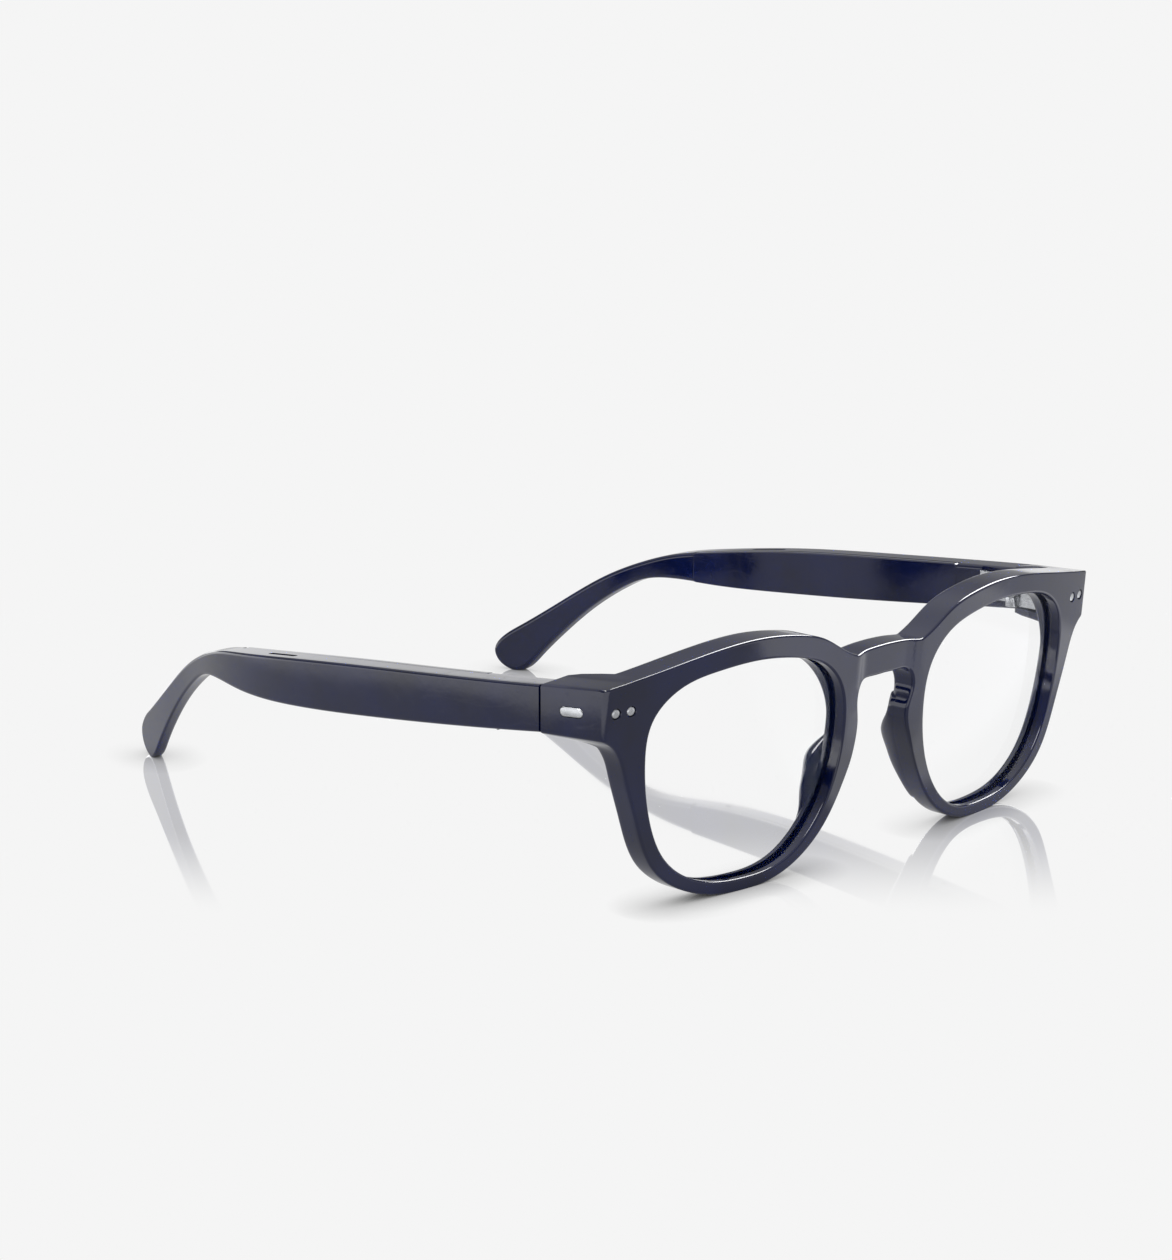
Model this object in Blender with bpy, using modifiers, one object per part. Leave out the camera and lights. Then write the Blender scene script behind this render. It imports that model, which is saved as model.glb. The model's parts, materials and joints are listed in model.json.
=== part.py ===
"""Audio smart glasses, standing on a table with both temples open.

Frame: metres, +Z up, the table is z = 0. The wearer looks towards -Y, the temples run to +Y, and the
wearer's left is +X. The origin is the middle of the footprint. Lengths below are in millimetres.
"""

import math

import bmesh
import bpy
import numpy as np
from mathutils import Matrix, Vector

MM = 0.001
Y_ORIGIN = 75.5          # the front's plane y = 0 is this far in front of the origin

# front
FRONT_WRAP = 0.0013      # the front's surface is y = wrap * x^2 - lean * (z - LEAN_Z)
FRONT_LEAN = 0.0833
LEAN_Z = 20.0
RIM_DEPTH = 4.8
BROW_DEPTH = 6.5
BROW_RISE = (27.0, 38.0) # heights between which the front thickens
FLAT_HALF = 2.0          # half thickness of the front's plate before it is bent
FRONT_EDGE = 0.5
CORNER_X = 67.6          # half width at the front's outer corners
CORNER_RADIUS = 0.8
BLOCK_IN = 63.1          # inner face of the end piece's block
BLOCK_FILLET = 2.4
BLOCK_FOOT = (30.6, 32.4) # heights between which the block grows out of the rim
BLOCK_SLOPE = 0.03       # how fast the block drops towards the seam, at the height BLOCK_LOW
BLOCK_TAPER = 0.0048     # and how much faster a millimetre higher up
BLOCK_LOW = 32.5
CORNER_SLICE = 66.5
SEAM_Y = 18.0
SEAM_GAP = 0.3
BLOCK_FLARE = 1.8        # how much wider the block is at the seam than at the corner
GROOVE_DEPTH = 0.85
GROOVE_ROOM = 0.2        # of the groove beside the lens, on each side
BRIDGE_RECESS = 0.8      # how far the bridge's face lies behind the rims'
BRIDGE_HALF = (5.6, 9.4) # where the recess starts and ends, out from the middle

# lenses: each is a domed disc in its rim's groove
LENS_CENTRE = (34.7, 22.2)
LENS_SEAT = 1.5          # depth of the lens's middle below the front's surface
LENS_DOME = 250.0
LENS_THICK = 1.8
LENS_LIP = 0.7
LENS_EDGE = 0.15
GROOVE_OVERLAP = 0.1

# temples
TEMPLE_THICK = 5.9
TIP_THICK = 2.9
THINNING = (90.0, 140.0) # where along the temple it thins down
TEMPLE_EDGE = 0.7
FIT_GAP = 0.3            # between pieces that are fixed to each other
SHELL_WALL = 1.3
COVER_THICK = 1.4
COVER_START = 34.0
COVER_END = 104.0
HOLLOW_START = 35.4
HOLLOW_END = 101.5
HOLLOW_MARGIN = 1.4
PLAN_STEP = 12.0
VENT_Y = 87.0
VENT_LENGTH = 8.6
VENT_WIDTH = 1.0
VENT_DEPTH_IN = 2.5      # how far in from the temple's outer face
VENT_SLOT = 5.0          # height of the slot's cutter
GRILLE_THICK = 0.8
GRILLE_EDGE = 0.1
GRILLE_SINK = 0.65       # its middle below the temple's top
MICROPHONE_FRONT_Y = 38.0
MICROPHONE_REAR_Y = 97.0
RUN_GAP = 0.06

# hinge
PIN_X = 62.3
PIN_Y = 18.15
KNUCKLE_R = 1.35
PIN_R = 0.55
LEAF_THICK = 1.0
KNUCKLE_SPLITS = (33.4, 35.4, 37.6, 39.6)
KNUCKLE_GAP = 0.16
FRONT_ARM_END = 11.5
TEMPLE_ARM_END = 27.0
TEMPLE_ARM_LEAN = 0.65

# push button, under the right temple
BUTTON_Y = 29.8
BUTTON_SIZE = (5.2, 2.0, 1.3)
BUTTON_PROUD = 0.3
BUTTON_DEPTH_IN = 2.6
BUTTON_CLEARANCE = 0.1
BUTTON_EDGE = 0.2
POCKET_DEPTH = 2.9
SWITCH_SIZE = (2.8, 1.5, 0.8)
SWITCH_RISE = 0.7        # the switch's middle above the pocket's floor
SWITCH_EDGE = 0.1

# inside each temple: name, place along the temple, size, depth below the outer face, rise, edge
BATTERY = ("battery", 53.0, (25.0, 4.6, 1.7), 2.6, -0.6, 0.3)
CIRCUIT_BOARD = ("circuit_board", 74.0, (12.6, 3.8, 0.6), 1.95, -0.6, 0.0)
PROCESSOR = ("processor", 73.0, (4.0, 3.0, 0.7), 2.9, -0.6, 0.0)
SPEAKER = ("speaker", VENT_Y, (9.6, 3.2, 1.5), 2.5, -0.65, 0.3)
MICROPHONE_FRONT = ("microphone_front", MICROPHONE_FRONT_Y, (2.6, 1.9, 1.1), 2.3, -0.9, 0.1)
MICROPHONE_REAR = ("microphone_rear", MICROPHONE_REAR_Y, (2.6, 1.6, 1.0), 2.3, -0.8, 0.1)
PORT_RADIUS = 0.45
PORT_LENGTH = 3.4
PORT_DEPTH_IN = 2.2
COIL_PLACE = (51.0, 3.95, -0.6)
COIL_OUTER = (18.0, 4.2)
COIL_INNER = (15.4, 1.6)
COIL_THICK = 0.3
CABLE_DROP = (1.7, 2.6)  # the cable's two edges below the temple's top
CABLE_THICK = 0.15

NAVY = (0.020, 0.022, 0.060)
STEEL = (0.42, 0.43, 0.45)

LENS_KNOTS = (
    (58.35, 27.5), (57.3, 34.8), (52.0, 39.5), (43.5, 41.45), (34.0, 41.95), (25.0, 40.95),
    (17.4, 38.4), (12.8, 33.4), (11.5, 26.0), (13.2, 16.3), (17.6, 8.6), (24.1, 3.65),
    (34.5, 2.25), (44.4, 3.75), (52.6, 9.2), (57.0, 18.6),
)
BROW_KNOTS = (
    (9.0, 38.75), (11.4, 39.75), (17.8, 43.2), (25.0, 45.15), (34.5, 45.95), (46.0, 45.05),
    (58.7, 43.1), (CORNER_X, 41.85),
)
RIM_KNOTS = (
    (CORNER_X, 32.9), (65.6, 31.5), (62.5, 25.2), (59.7, 17.3), (55.7, 8.5), (47.5, 2.4),
    (35.0, -0.25), (23.2, 1.6), (14.6, 7.9), (9.2, 17.4), (7.0, 26.5), (7.75, 31.0),
    (6.4, 33.4), (3.5, 33.8), (0.0, 33.85),
)
BRIDGE_TOP = ((0.0, 39.4), (4.5, 39.25), (9.0, 38.75))

TEMPLE_PLAN = (
    (4.4, 67.6), (18.0, 69.45), (30.0, 70.3), (60.0, 71.0), (90.0, 70.1), (110.0, 65.8),
    (125.0, 60.6), (138.0, 56.4), (153.0, 51.3),
)
TEMPLE_TOP = (
    (SEAM_Y + SEAM_GAP, 40.75), (50.0, 37.9), (80.0, 35.0), (100.0, 32.4), (110.0, 30.6),
    (117.0, 28.3), (125.0, 24.7), (135.0, 18.5), (147.0, 10.4), (151.2, 7.3),
)
TEMPLE_TIP = ((152.8, 4.6), (151.9, 1.9), (149.7, 0.3), (147.4, -0.12), (145.3, 0.9))
TEMPLE_BOTTOM = (
    (143.0, 3.3), (137.0, 9.7), (131.0, 15.3), (122.3, 21.6), (116.5, 24.4), (110.0, 25.3),
    (100.0, 25.2), (80.0, 26.0), (50.0, 28.8), (SEAM_Y + SEAM_GAP, 32.45),
)

NOSE_PAD_STATIONS = (
    # height, reach behind the rim
    (26.5, 0.6), (24.6, 0.9), (22.8, 1.9), (21.3, 3.0), (19.5, 3.76), (17.8, 3.5), (15.8, 3.0),
    (13.8, 2.6), (11.5, 1.7), (9.6, 1.0), (7.5, 0.6),
)
NOSE_PAD_WIDTH = 3.0
NOSE_PAD_FLARE = 0.5

RIVETS = {"inner": (62.2, 37.4), "outer": (65.3, 37.4)}
RIVET_R = 0.9
RIVET_LENGTH = 2.6
RIVET_SINK = 0.12
RIVET_EDGE = 0.15
RIVET_HOLE = (4.2, 1.0)  # length, and depth of its middle below the surface
INLAY_AT = (11.5, 37.0)
INLAY_SIZE = (4.8, 1.7, 1.0)
INLAY_EDGE = 0.12
INLAY_PROUD = 0.08
INLAY_POCKET_TOP = 0.9   # how far the pocket's cutter stands out of the side


# ---------------------------------------------------------------- curves

def spline(knots, spacing, closed=False):
    """Points about `spacing` apart on the smooth cubic curve through the knots."""
    pts = np.array(knots, float)
    if closed:
        pts = np.vstack([pts, pts[:1]])
    gaps = np.linalg.norm(np.diff(pts, axis=0), axis=1)
    t = np.concatenate([[0.0], np.cumsum(gaps)])
    n = len(t)
    rows = np.zeros((n, n))
    side = np.zeros((n, pts.shape[1]))
    for i in range(1, n - 1):
        rows[i, i - 1:i + 2] = (gaps[i - 1], 2 * (gaps[i - 1] + gaps[i]), gaps[i])
        side[i] = 6 * ((pts[i + 1] - pts[i]) / gaps[i] - (pts[i] - pts[i - 1]) / gaps[i - 1])
    if closed:
        rows[0, 0] = 1.0
        rows[0, -1] = -1.0
        rows[-1, 0] = 2 * gaps[0]
        rows[-1, 1] = gaps[0]
        rows[-1, -2] = gaps[-1]
        rows[-1, -1] = 2 * gaps[-1]
        side[-1] = 6 * ((pts[1] - pts[0]) / gaps[0] - (pts[-1] - pts[-2]) / gaps[-1])
    else:
        rows[0, 0] = 1.0
        rows[-1, -1] = 1.0
    bend = np.linalg.solve(rows, side)
    count = max(2, round(t[-1] / spacing))
    u = np.linspace(0.0, t[-1], count + 1)
    i = np.clip(np.searchsorted(t, u, side="right") - 1, 0, n - 2)
    h = gaps[i][:, None]
    a = (t[i + 1] - u)[:, None]
    b = (u - t[i])[:, None]
    cubic = (bend[i] * a ** 3 + bend[i + 1] * b ** 3) / (6 * h)
    points = cubic + (pts[i] / h - bend[i] * h / 6) * a + (pts[i + 1] / h - bend[i + 1] * h / 6) * b
    return points[:-1] if closed else points


def grown(loop, distance):
    """The closed outline moved outwards by `distance`."""
    along = np.roll(loop, -1, axis=0) - np.roll(loop, 1, axis=0)
    along /= np.linalg.norm(along, axis=1)[:, None]
    x, y = loop[:, 0], loop[:, 1]
    area = np.sum(x * np.roll(y, -1) - np.roll(x, -1) * y)
    outward = np.stack([along[:, 1], -along[:, 0]], axis=1) * np.sign(area)
    return loop + distance * outward


def stadium(length, height, steps=6):
    """A slot-shaped outline centred on the origin, with half-round ends."""
    r = height / 2
    points = []
    for end in (1, -1):
        for i in range(steps + 1):
            angle = math.pi * i / steps - end * math.pi / 2
            centre = end * (length / 2 - r)
            points.append((centre + r * math.cos(angle), r * math.sin(angle)))
    return np.array(points)


def smooth_step(value, low, high):
    t = min(max((value - low) / (high - low), 0.0), 1.0)
    return t * t * (3 - 2 * t)


PLAN = spline(TEMPLE_PLAN, 1.0)
SIDE = spline(TEMPLE_TOP + TEMPLE_TIP + TEMPLE_BOTTOM, 0.5)
REAR = int(np.argmax(SIDE[:, 0]))


def plan_x(y):
    """Half width at a temple's outer face."""
    return float(np.interp(y, PLAN[:, 0], PLAN[:, 1]))


def top_z(y):
    return float(np.interp(y, SIDE[:REAR, 0], SIDE[:REAR, 1]))


def bottom_z(y):
    return float(np.interp(y, SIDE[REAR:, 0][::-1], SIDE[REAR:, 1][::-1]))


def temple_thickness(y):
    return TEMPLE_THICK + (TIP_THICK - TEMPLE_THICK) * smooth_step(y, *THINNING)


def face_y(x, z):
    """The front's surface."""
    return FRONT_WRAP * x * x - FRONT_LEAN * (z - LEAN_Z)


# ---------------------------------------------------------------- mesh helpers

def new_collection(name):
    collection = bpy.data.collections.new(name)
    bpy.context.scene.collection.children.link(collection)
    return collection


def new_material(name, colour, roughness, metallic=0.0, alpha=1.0, transmission=0.0):
    material = bpy.data.materials.new(name)
    material.use_nodes = True
    material.diffuse_color = (*colour, alpha)
    shader = material.node_tree.nodes["Principled BSDF"]
    shader.inputs["Base Color"].default_value = (*colour, 1.0)
    shader.inputs["Roughness"].default_value = roughness
    shader.inputs["Metallic"].default_value = metallic
    shader.inputs["Transmission Weight"].default_value = transmission
    return material


def finish(bm, name, collection, material):
    """A mesh object from a bmesh whose vertices are in metres, before the shift to the origin."""
    bmesh.ops.recalc_face_normals(bm, faces=bm.faces)
    if bm.calc_volume(signed=True) < 0:
        bmesh.ops.reverse_faces(bm, faces=bm.faces)
    mesh = bpy.data.meshes.new(name)
    bm.to_mesh(mesh)
    bm.free()
    mesh.shade_smooth()
    mesh.set_sharp_from_angle(angle=math.radians(40))
    if material:
        mesh.materials.append(material)
    obj = bpy.data.objects.new(name, mesh)
    obj.location = (0.0, -Y_ORIGIN * MM, 0.0)
    collection.objects.link(obj)
    if collection is CUTTERS:
        obj.hide_render = True
        obj.display_type = "WIRE"
    return obj


def plate(loops, thickness, edge=0.0, rows=0):
    """A flat plate with rounded edges that fills the outlines, centred on its own thickness."""
    curve = bpy.data.curves.new("outline", "CURVE")
    curve.dimensions = "2D"
    curve.fill_mode = "BOTH"
    curve.extrude = (thickness / 2 - edge) * MM
    curve.bevel_depth = edge * MM
    curve.bevel_resolution = rows
    curve.offset = -edge * MM
    curve.render_resolution_u = 0
    for loop in loops:
        line = curve.splines.new("POLY")
        line.points.add(len(loop) - 1)
        for point, (u, v) in zip(line.points, loop):
            point.co = (u * MM, v * MM, 0.0, 1.0)
        line.use_cyclic_u = True
    holder = bpy.data.objects.new("outline", curve)
    bpy.context.scene.collection.objects.link(holder)
    bpy.context.view_layer.update()
    graph = bpy.context.evaluated_depsgraph_get()
    mesh = bpy.data.meshes.new_from_object(holder.evaluated_get(graph))
    bpy.data.objects.remove(holder)
    bpy.data.curves.remove(curve)
    bm = bmesh.new()
    bm.from_mesh(mesh)
    bpy.data.meshes.remove(mesh)
    bmesh.ops.remove_doubles(bm, verts=bm.verts, dist=0.00001)
    return bm


def slice_across(bm, axis, positions):
    """Adds edges where planes across one axis cut the mesh, so that it can follow a bend."""
    normal = Vector((0.0, 0.0, 0.0))
    normal[axis] = 1.0
    for position in positions:
        parts = bm.verts[:] + bm.edges[:] + bm.faces[:]
        bmesh.ops.bisect_plane(bm, geom=parts, dist=1e-6, plane_co=normal * position * MM,
                               plane_no=normal)


def mirrored(source, name):
    """A copy of an object on the other side of the middle plane."""
    bm = bmesh.new()
    bm.from_mesh(source.data)
    flip = Matrix.Scale(-1.0, 4, (1.0, 0.0, 0.0))
    world = Matrix.LocRotScale(source.location, source.rotation_euler, source.scale)
    bmesh.ops.transform(bm, matrix=flip @ world, verts=bm.verts)
    bmesh.ops.translate(bm, vec=(0.0, Y_ORIGIN * MM, 0.0), verts=bm.verts)
    material = source.data.materials[0] if source.data.materials else None
    return finish(bm, name, source.users_collection[0], material)


def cut(target, cutter, operation="DIFFERENCE"):
    modifier = target.modifiers.new(cutter.name, "BOOLEAN")
    modifier.operation = operation
    modifier.object = cutter
    return modifier


def place(bm, matrix):
    bmesh.ops.transform(bm, matrix=matrix, verts=bm.verts)
    return bm


def at(x, y, z, rotation=None):
    """Placement matrix for a point given in millimetres."""
    move = Matrix.Translation((x * MM, y * MM, z * MM))
    return move @ rotation.to_4x4() if rotation else move


def cylinder(radius, depth, segments=24):
    bm = bmesh.new()
    bmesh.ops.create_cone(bm, cap_ends=True, segments=segments, radius1=radius * MM,
                          radius2=radius * MM, depth=depth * MM)
    return bm


def block(size, edge=0.0):
    """A box centred on the origin, with bevelled edges."""
    bm = bmesh.new()
    bmesh.ops.create_cube(bm, size=1.0)
    bmesh.ops.scale(bm, vec=[s * MM for s in size], verts=bm.verts)
    if edge:
        bmesh.ops.bevel(bm, geom=bm.edges[:], offset=edge * MM, segments=1, profile=0.5,
                        affect="EDGES")
    return bm


# ---------------------------------------------------------------- front

def front_outline():
    """The front's outline, right round, from the middle of the bridge's top."""
    bridge = spline(BRIDGE_TOP, 4.5)
    brow = spline(BROW_KNOTS, 4.0)
    rim = spline(RIM_KNOTS, 3.3)
    half = np.vstack([bridge[:-1], brow, rim])
    back = half[1:-1][::-1] * np.array([-1.0, 1.0])
    return np.vstack([half, back])


def front_depth(x, z):
    """Thickness of the front, measured straight back from its surface."""
    return RIM_DEPTH + (BROW_DEPTH - RIM_DEPTH) * smooth_step(z, *BROW_RISE)


def front_point(x, z, w):
    """Bends a point of the flat front, w in front of its middle, to its true place."""
    side = math.copysign(1.0, x)
    across = abs(x)
    surface = face_y(x, z)
    in_block = smooth_step(across, BLOCK_IN - BLOCK_FILLET, BLOCK_IN) * smooth_step(z, *BLOCK_FOOT)
    if w > 0:
        recess = BRIDGE_RECESS * (1 - smooth_step(across, *BRIDGE_HALF))
        y = surface + FLAT_HALF - w + recess
        past = across - (CORNER_X - CORNER_RADIUS)
        if past > 0:
            past = min(past, CORNER_RADIUS)
            y += CORNER_RADIUS - math.sqrt(CORNER_RADIUS ** 2 - past ** 2)
    else:
        back = surface + front_depth(across, z)
        y = back + (SEAM_Y - back) * in_block - (FLAT_HALF + w)
    run = max(y - surface, 0.0) * in_block
    flare = BLOCK_FLARE * run / (SEAM_Y - surface) * smooth_step(across, BLOCK_IN, CORNER_X)
    drop = run * (BLOCK_SLOPE + BLOCK_TAPER * (z - BLOCK_LOW))
    return Vector((x + side * flare, y, max(z - drop, 0.0)))


def make_front():
    opening = spline(LENS_KNOTS, 4.0, closed=True)
    other = opening * np.array([-1.0, 1.0])
    bm = plate([front_outline(), opening, other], 2 * FLAT_HALF, FRONT_EDGE)
    inner, outer = BRIDGE_HALF
    columns = (inner, (inner + outer) / 2, outer, BLOCK_IN - BLOCK_FILLET, BLOCK_IN - BLOCK_FILLET / 2,
               BLOCK_IN, CORNER_SLICE)
    slice_across(bm, 0, [s * c for c in columns for s in (-1, 1)])
    slice_across(bm, 1, (sum(BLOCK_FOOT) / 2, BLOCK_FOOT[1]))
    for vert in bm.verts:
        u, v, w = vert.co / MM
        vert.co = front_point(u, v, w) * MM
    bmesh.ops.triangulate(bm, faces=bm.faces)
    return finish(bm, "front_frame", PARTS, PLASTIC)


def lens_solid(name, lip, thickness, edge, collection, material):
    """A domed disc that follows the lens opening, `lip` larger all round."""
    outline = grown(spline(LENS_KNOTS, 4.0, closed=True), lip)
    half = thickness / 2
    bm = plate([outline], thickness, edge)
    cx, cz = LENS_CENTRE
    slice_across(bm, 0, [cx - 12, cx, cx + 12])
    slice_across(bm, 1, [cz - 9, cz + 9])
    for vert in bm.verts:
        u, v, w = vert.co / MM
        dome = ((u - cx) ** 2 + (v - cz) ** 2) / (2 * LENS_DOME)
        vert.co = Vector((u, face_y(u, v) + LENS_SEAT + dome - w, v)) * MM
    return finish(bm, name, collection, material)


def make_lenses(front):
    left = lens_solid("lens_left", LENS_LIP, LENS_THICK, LENS_EDGE, PARTS, GLASS)
    mirrored(left, "lens_right")
    groove = lens_solid("groove_left", GROOVE_DEPTH + GROOVE_OVERLAP, LENS_THICK + 2 * GROOVE_ROOM,
                        0.0, CUTTERS, None)
    for cutter in (groove, mirrored(groove, "groove_right")):
        cut(front, cutter)


def surface_turn(x, z):
    """Rotation that points +Z out of the front's surface."""
    slope = Vector((2 * FRONT_WRAP * x, -1.0, -FRONT_LEAN))
    return slope.to_track_quat("Z", "Y").to_matrix()


def make_rivets(front):
    hole_length, hole_depth = RIVET_HOLE
    for where, (x, z) in RIVETS.items():
        turn = surface_turn(x, z)
        out = turn @ Vector((0.0, 0.0, 1.0))
        seat = Vector((x, face_y(x, z), z)) - out * (RIVET_SINK + RIVET_LENGTH / 2)
        bm = place(cylinder(RIVET_R, RIVET_LENGTH), at(*seat, turn))
        top = [e for e in bm.edges if all((v.co / MM - seat).dot(out) > 1.0 for v in e.verts)]
        bmesh.ops.bevel(bm, geom=top, offset=RIVET_EDGE * MM, segments=1, affect="EDGES")
        left = finish(bm, "rivet_left_" + where, PARTS, METAL)
        mirrored(left, "rivet_right_" + where)
        middle = Vector((x, face_y(x, z), z)) - out * hole_depth
        hole = place(cylinder(RIVET_R + RUN_GAP, hole_length), at(*middle, turn))
        pocket = finish(hole, "rivet_hole_" + where, CUTTERS, None)
        cut(front, pocket)
        cut(front, mirrored(pocket, "rivet_hole_right_" + where))


def side_turn():
    """Rotation that lays a plate on the left end piece's side: u along +Y, w outwards."""
    slope = BLOCK_FLARE / (SEAM_Y - face_y(CORNER_X, LEAN_Z))
    along = Vector((slope, 1.0, -0.06)).normalized()
    out = Vector((1.0, -slope, 0.0)).normalized()
    up = out.cross(along)
    return Matrix((along, up, out)).transposed()


def side_x(y):
    surface = face_y(CORNER_X, INLAY_AT[1])
    return CORNER_X + BLOCK_FLARE * (y - surface) / (SEAM_Y - surface)


def make_inlays(front):
    length, height, thick = INLAY_SIZE
    y, z = INLAY_AT
    turn = side_turn()
    out = turn @ Vector((0.0, 0.0, 1.0))
    skin = Vector((side_x(y), y, z))
    seat = skin + out * (INLAY_PROUD - thick / 2)
    left = finish(place(plate([stadium(length, height)], thick, INLAY_EDGE), at(*seat, turn)),
                  "side_inlay_left", PARTS, METAL)
    mirrored(left, "side_inlay_right")
    outline = grown(stadium(length, height), RUN_GAP)
    seat = skin + out * (INLAY_POCKET_TOP - thick)
    bm = place(plate([outline], 2 * thick), at(*seat, turn))
    pocket = finish(bm, "inlay_pocket_left", CUTTERS, None)
    cut(front, pocket)
    cut(front, mirrored(pocket, "inlay_pocket_right"))


def make_nose_pads():
    """Saddle pads: sections across the nasal rim at each station, joined and rounded."""
    rim = spline(RIM_KNOTS, 0.5)
    nasal = rim[(rim[:, 0] < 30.0) & (rim[:, 1] < 30.5)]
    bm = bmesh.new()
    rings = []
    for z, reach in NOSE_PAD_STATIONS:
        x = float(np.interp(z, nasal[:, 1], nasal[:, 0])) + 0.25
        root = face_y(x, z) + front_depth(x, z) + FIT_GAP
        flare = NOSE_PAD_FLARE * reach
        width = NOSE_PAD_WIDTH * (0.75 + 0.25 * min(reach / 4.0, 1.0))
        section = (
            (x, root), (x + 0.3 * flare, root + 0.55 * reach), (x + flare, root + reach),
            (x + flare + 0.55 * width, root + reach * 0.93), (x + width, root + reach * 0.45),
            (x + width, root),
        )
        rings.append([bm.verts.new(Vector((a, b, z)) * MM) for a, b in section])
    for lower, upper in zip(rings, rings[1:]):
        for i in range(len(lower)):
            j = (i + 1) % len(lower)
            bm.faces.new((lower[i], lower[j], upper[j], upper[i]))
    bm.faces.new(rings[0])
    bm.faces.new(rings[-1])
    left = finish(bm, "nose_pad_left", PARTS, PLASTIC)
    right = mirrored(left, "nose_pad_right")
    for pad in (left, right):
        soften = pad.modifiers.new("soften", "SUBSURF")
        soften.levels = 1
        soften.render_levels = 1


# ---------------------------------------------------------------- temples

def temple_solid(name, outline, outer, inner, edge, collection, material):
    """A plate in the temple's side profile, bent to its plan. outer(y) and inner(y) are the depths
    of its two faces below the temple's outer face."""
    half = 1.0
    bm = plate([outline], 2 * half, edge)
    low = min(p[0] for p in outline)
    high = max(p[0] for p in outline)
    slice_across(bm, 0, np.arange(low + PLAN_STEP, high - 0.5 * PLAN_STEP, PLAN_STEP))
    for vert in bm.verts:
        y, z, w = vert.co / MM
        if w > 0:
            depth = outer(y) + half - w
        else:
            depth = inner(y) - half - w
        vert.co = Vector((plan_x(y) - depth, y, max(z, 0.0))) * MM
    bmesh.ops.triangulate(bm, faces=bm.faces)
    return finish(bm, name, collection, material)


def band(start, end, margin):
    """Outline of the temple's side between two places, `margin` inside its top and bottom."""
    places = np.linspace(start, end, 6)
    upper = [(y, top_z(y) - margin) for y in places]
    lower = [(y, bottom_z(y) + margin) for y in places[::-1]]
    return np.array(upper + lower)


def cover_face(y):
    """Depth of the cover's hidden face."""
    return temple_thickness(y) - COVER_THICK


def make_temple_shells():
    outline = spline(TEMPLE_TOP + TEMPLE_TIP + TEMPLE_BOTTOM, 4.2)
    left = temple_solid("temple_shell_left", outline, lambda y: 0.0, temple_thickness,
                        TEMPLE_EDGE, PARTS, PLASTIC)
    right = mirrored(left, "temple_shell_right")
    step = temple_solid("cover_step_left", band(COVER_START - FIT_GAP, COVER_END + FIT_GAP, -2.0),
                        lambda y: cover_face(y) - FIT_GAP, lambda y: temple_thickness(y) + 2.0,
                        0.0, CUTTERS, None)
    hollow = temple_solid("hollow_left", band(HOLLOW_START, HOLLOW_END, HOLLOW_MARGIN),
                          lambda y: SHELL_WALL, cover_face, 0.0, CUTTERS, None)
    for cutter in (step, hollow):
        cut(left, cutter)
        cut(right, mirrored(cutter, cutter.name.replace("left", "right")))
    cover = temple_solid("temple_cover_left", band(COVER_START, COVER_END, 0.1), cover_face,
                         temple_thickness, 0.3, PARTS, PLASTIC)
    mirrored(cover, "temple_cover_right")
    return left, right


def lying_turn(y, edge_z, up):
    """Rotation of a piece on the left temple's top or bottom: u runs back, w points `up`."""
    along = Vector((plan_x(y + 2) - plan_x(y - 2), 4.0, edge_z(y + 2) - edge_z(y - 2))).normalized()
    across = Vector((0.0, 0.0, up)).cross(along).normalized()
    return Matrix((along, across, along.cross(across))).transposed()


def make_vents(left, right):
    y, length, width = VENT_Y, VENT_LENGTH, VENT_WIDTH
    turn = lying_turn(y, top_z, 1.0)
    up = turn @ Vector((0.0, 0.0, 1.0))
    skin = Vector((plan_x(y) - VENT_DEPTH_IN, y, top_z(y)))
    slot = grown(stadium(length, width), RUN_GAP)
    cutter = finish(place(plate([slot], VENT_SLOT), at(*skin, turn)), "vent_slot_left", CUTTERS, None)
    cut(left, cutter)
    cut(right, mirrored(cutter, "vent_slot_right"))
    grille = plate([stadium(length, width)], GRILLE_THICK, GRILLE_EDGE)
    seat = at(*(skin - up * GRILLE_SINK), turn)
    grille = finish(place(grille, seat), "vent_grille_left", PARTS, MESH)
    mirrored(grille, "vent_grille_right")


def make_microphone_ports(left, right):
    for place_name, y in (("front", MICROPHONE_FRONT_Y), ("rear", MICROPHONE_REAR_Y)):
        seat = at(plan_x(y) - PORT_DEPTH_IN, y, bottom_z(y) + PORT_RADIUS)
        port = finish(place(cylinder(PORT_RADIUS, PORT_LENGTH, 12), seat), "port_left_" + place_name,
                      CUTTERS, None)
        cut(left, port)
        cut(right, mirrored(port, "port_right_" + place_name))


def inside_matrix(y, depth, rise):
    """Placement inside the left temple: X runs back, Z points outwards, `depth` below its face."""
    middle = (top_z(y) + bottom_z(y)) / 2
    slope = (top_z(y + 2) + bottom_z(y + 2) - top_z(y - 2) - bottom_z(y - 2)) / 2
    along = Vector((plan_x(y + 2) - plan_x(y - 2), 4.0, slope)).normalized()
    out = along.cross(Vector((0.0, 0.0, 1.0))).normalized()
    turn = Matrix((along, out.cross(along), out)).transposed()
    return at(plan_x(y) - depth, y, middle + rise, turn)


def make_inside_box(dimensions, material):
    """One of the plain parts inside the temples, and its copy on the other side."""
    name, y, size, depth, rise, edge = dimensions
    bm = place(block(size, edge), inside_matrix(y, depth, rise))
    mirrored(finish(bm, name + "_left", PARTS, material), name + "_right")


def make_electronics():
    make_inside_box(BATTERY, new_material("battery_foil", (0.55, 0.57, 0.60), 0.35, 0.6))
    make_inside_box(CIRCUIT_BOARD, new_material("circuit_board", (0.02, 0.16, 0.08), 0.5))
    make_inside_box(PROCESSOR, new_material("chip", (0.03, 0.03, 0.035), 0.4))
    can = new_material("metal_can", (0.70, 0.68, 0.62), 0.3, 1.0)
    for dimensions in (SPEAKER, MICROPHONE_FRONT, MICROPHONE_REAR):
        make_inside_box(dimensions, can)


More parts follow.
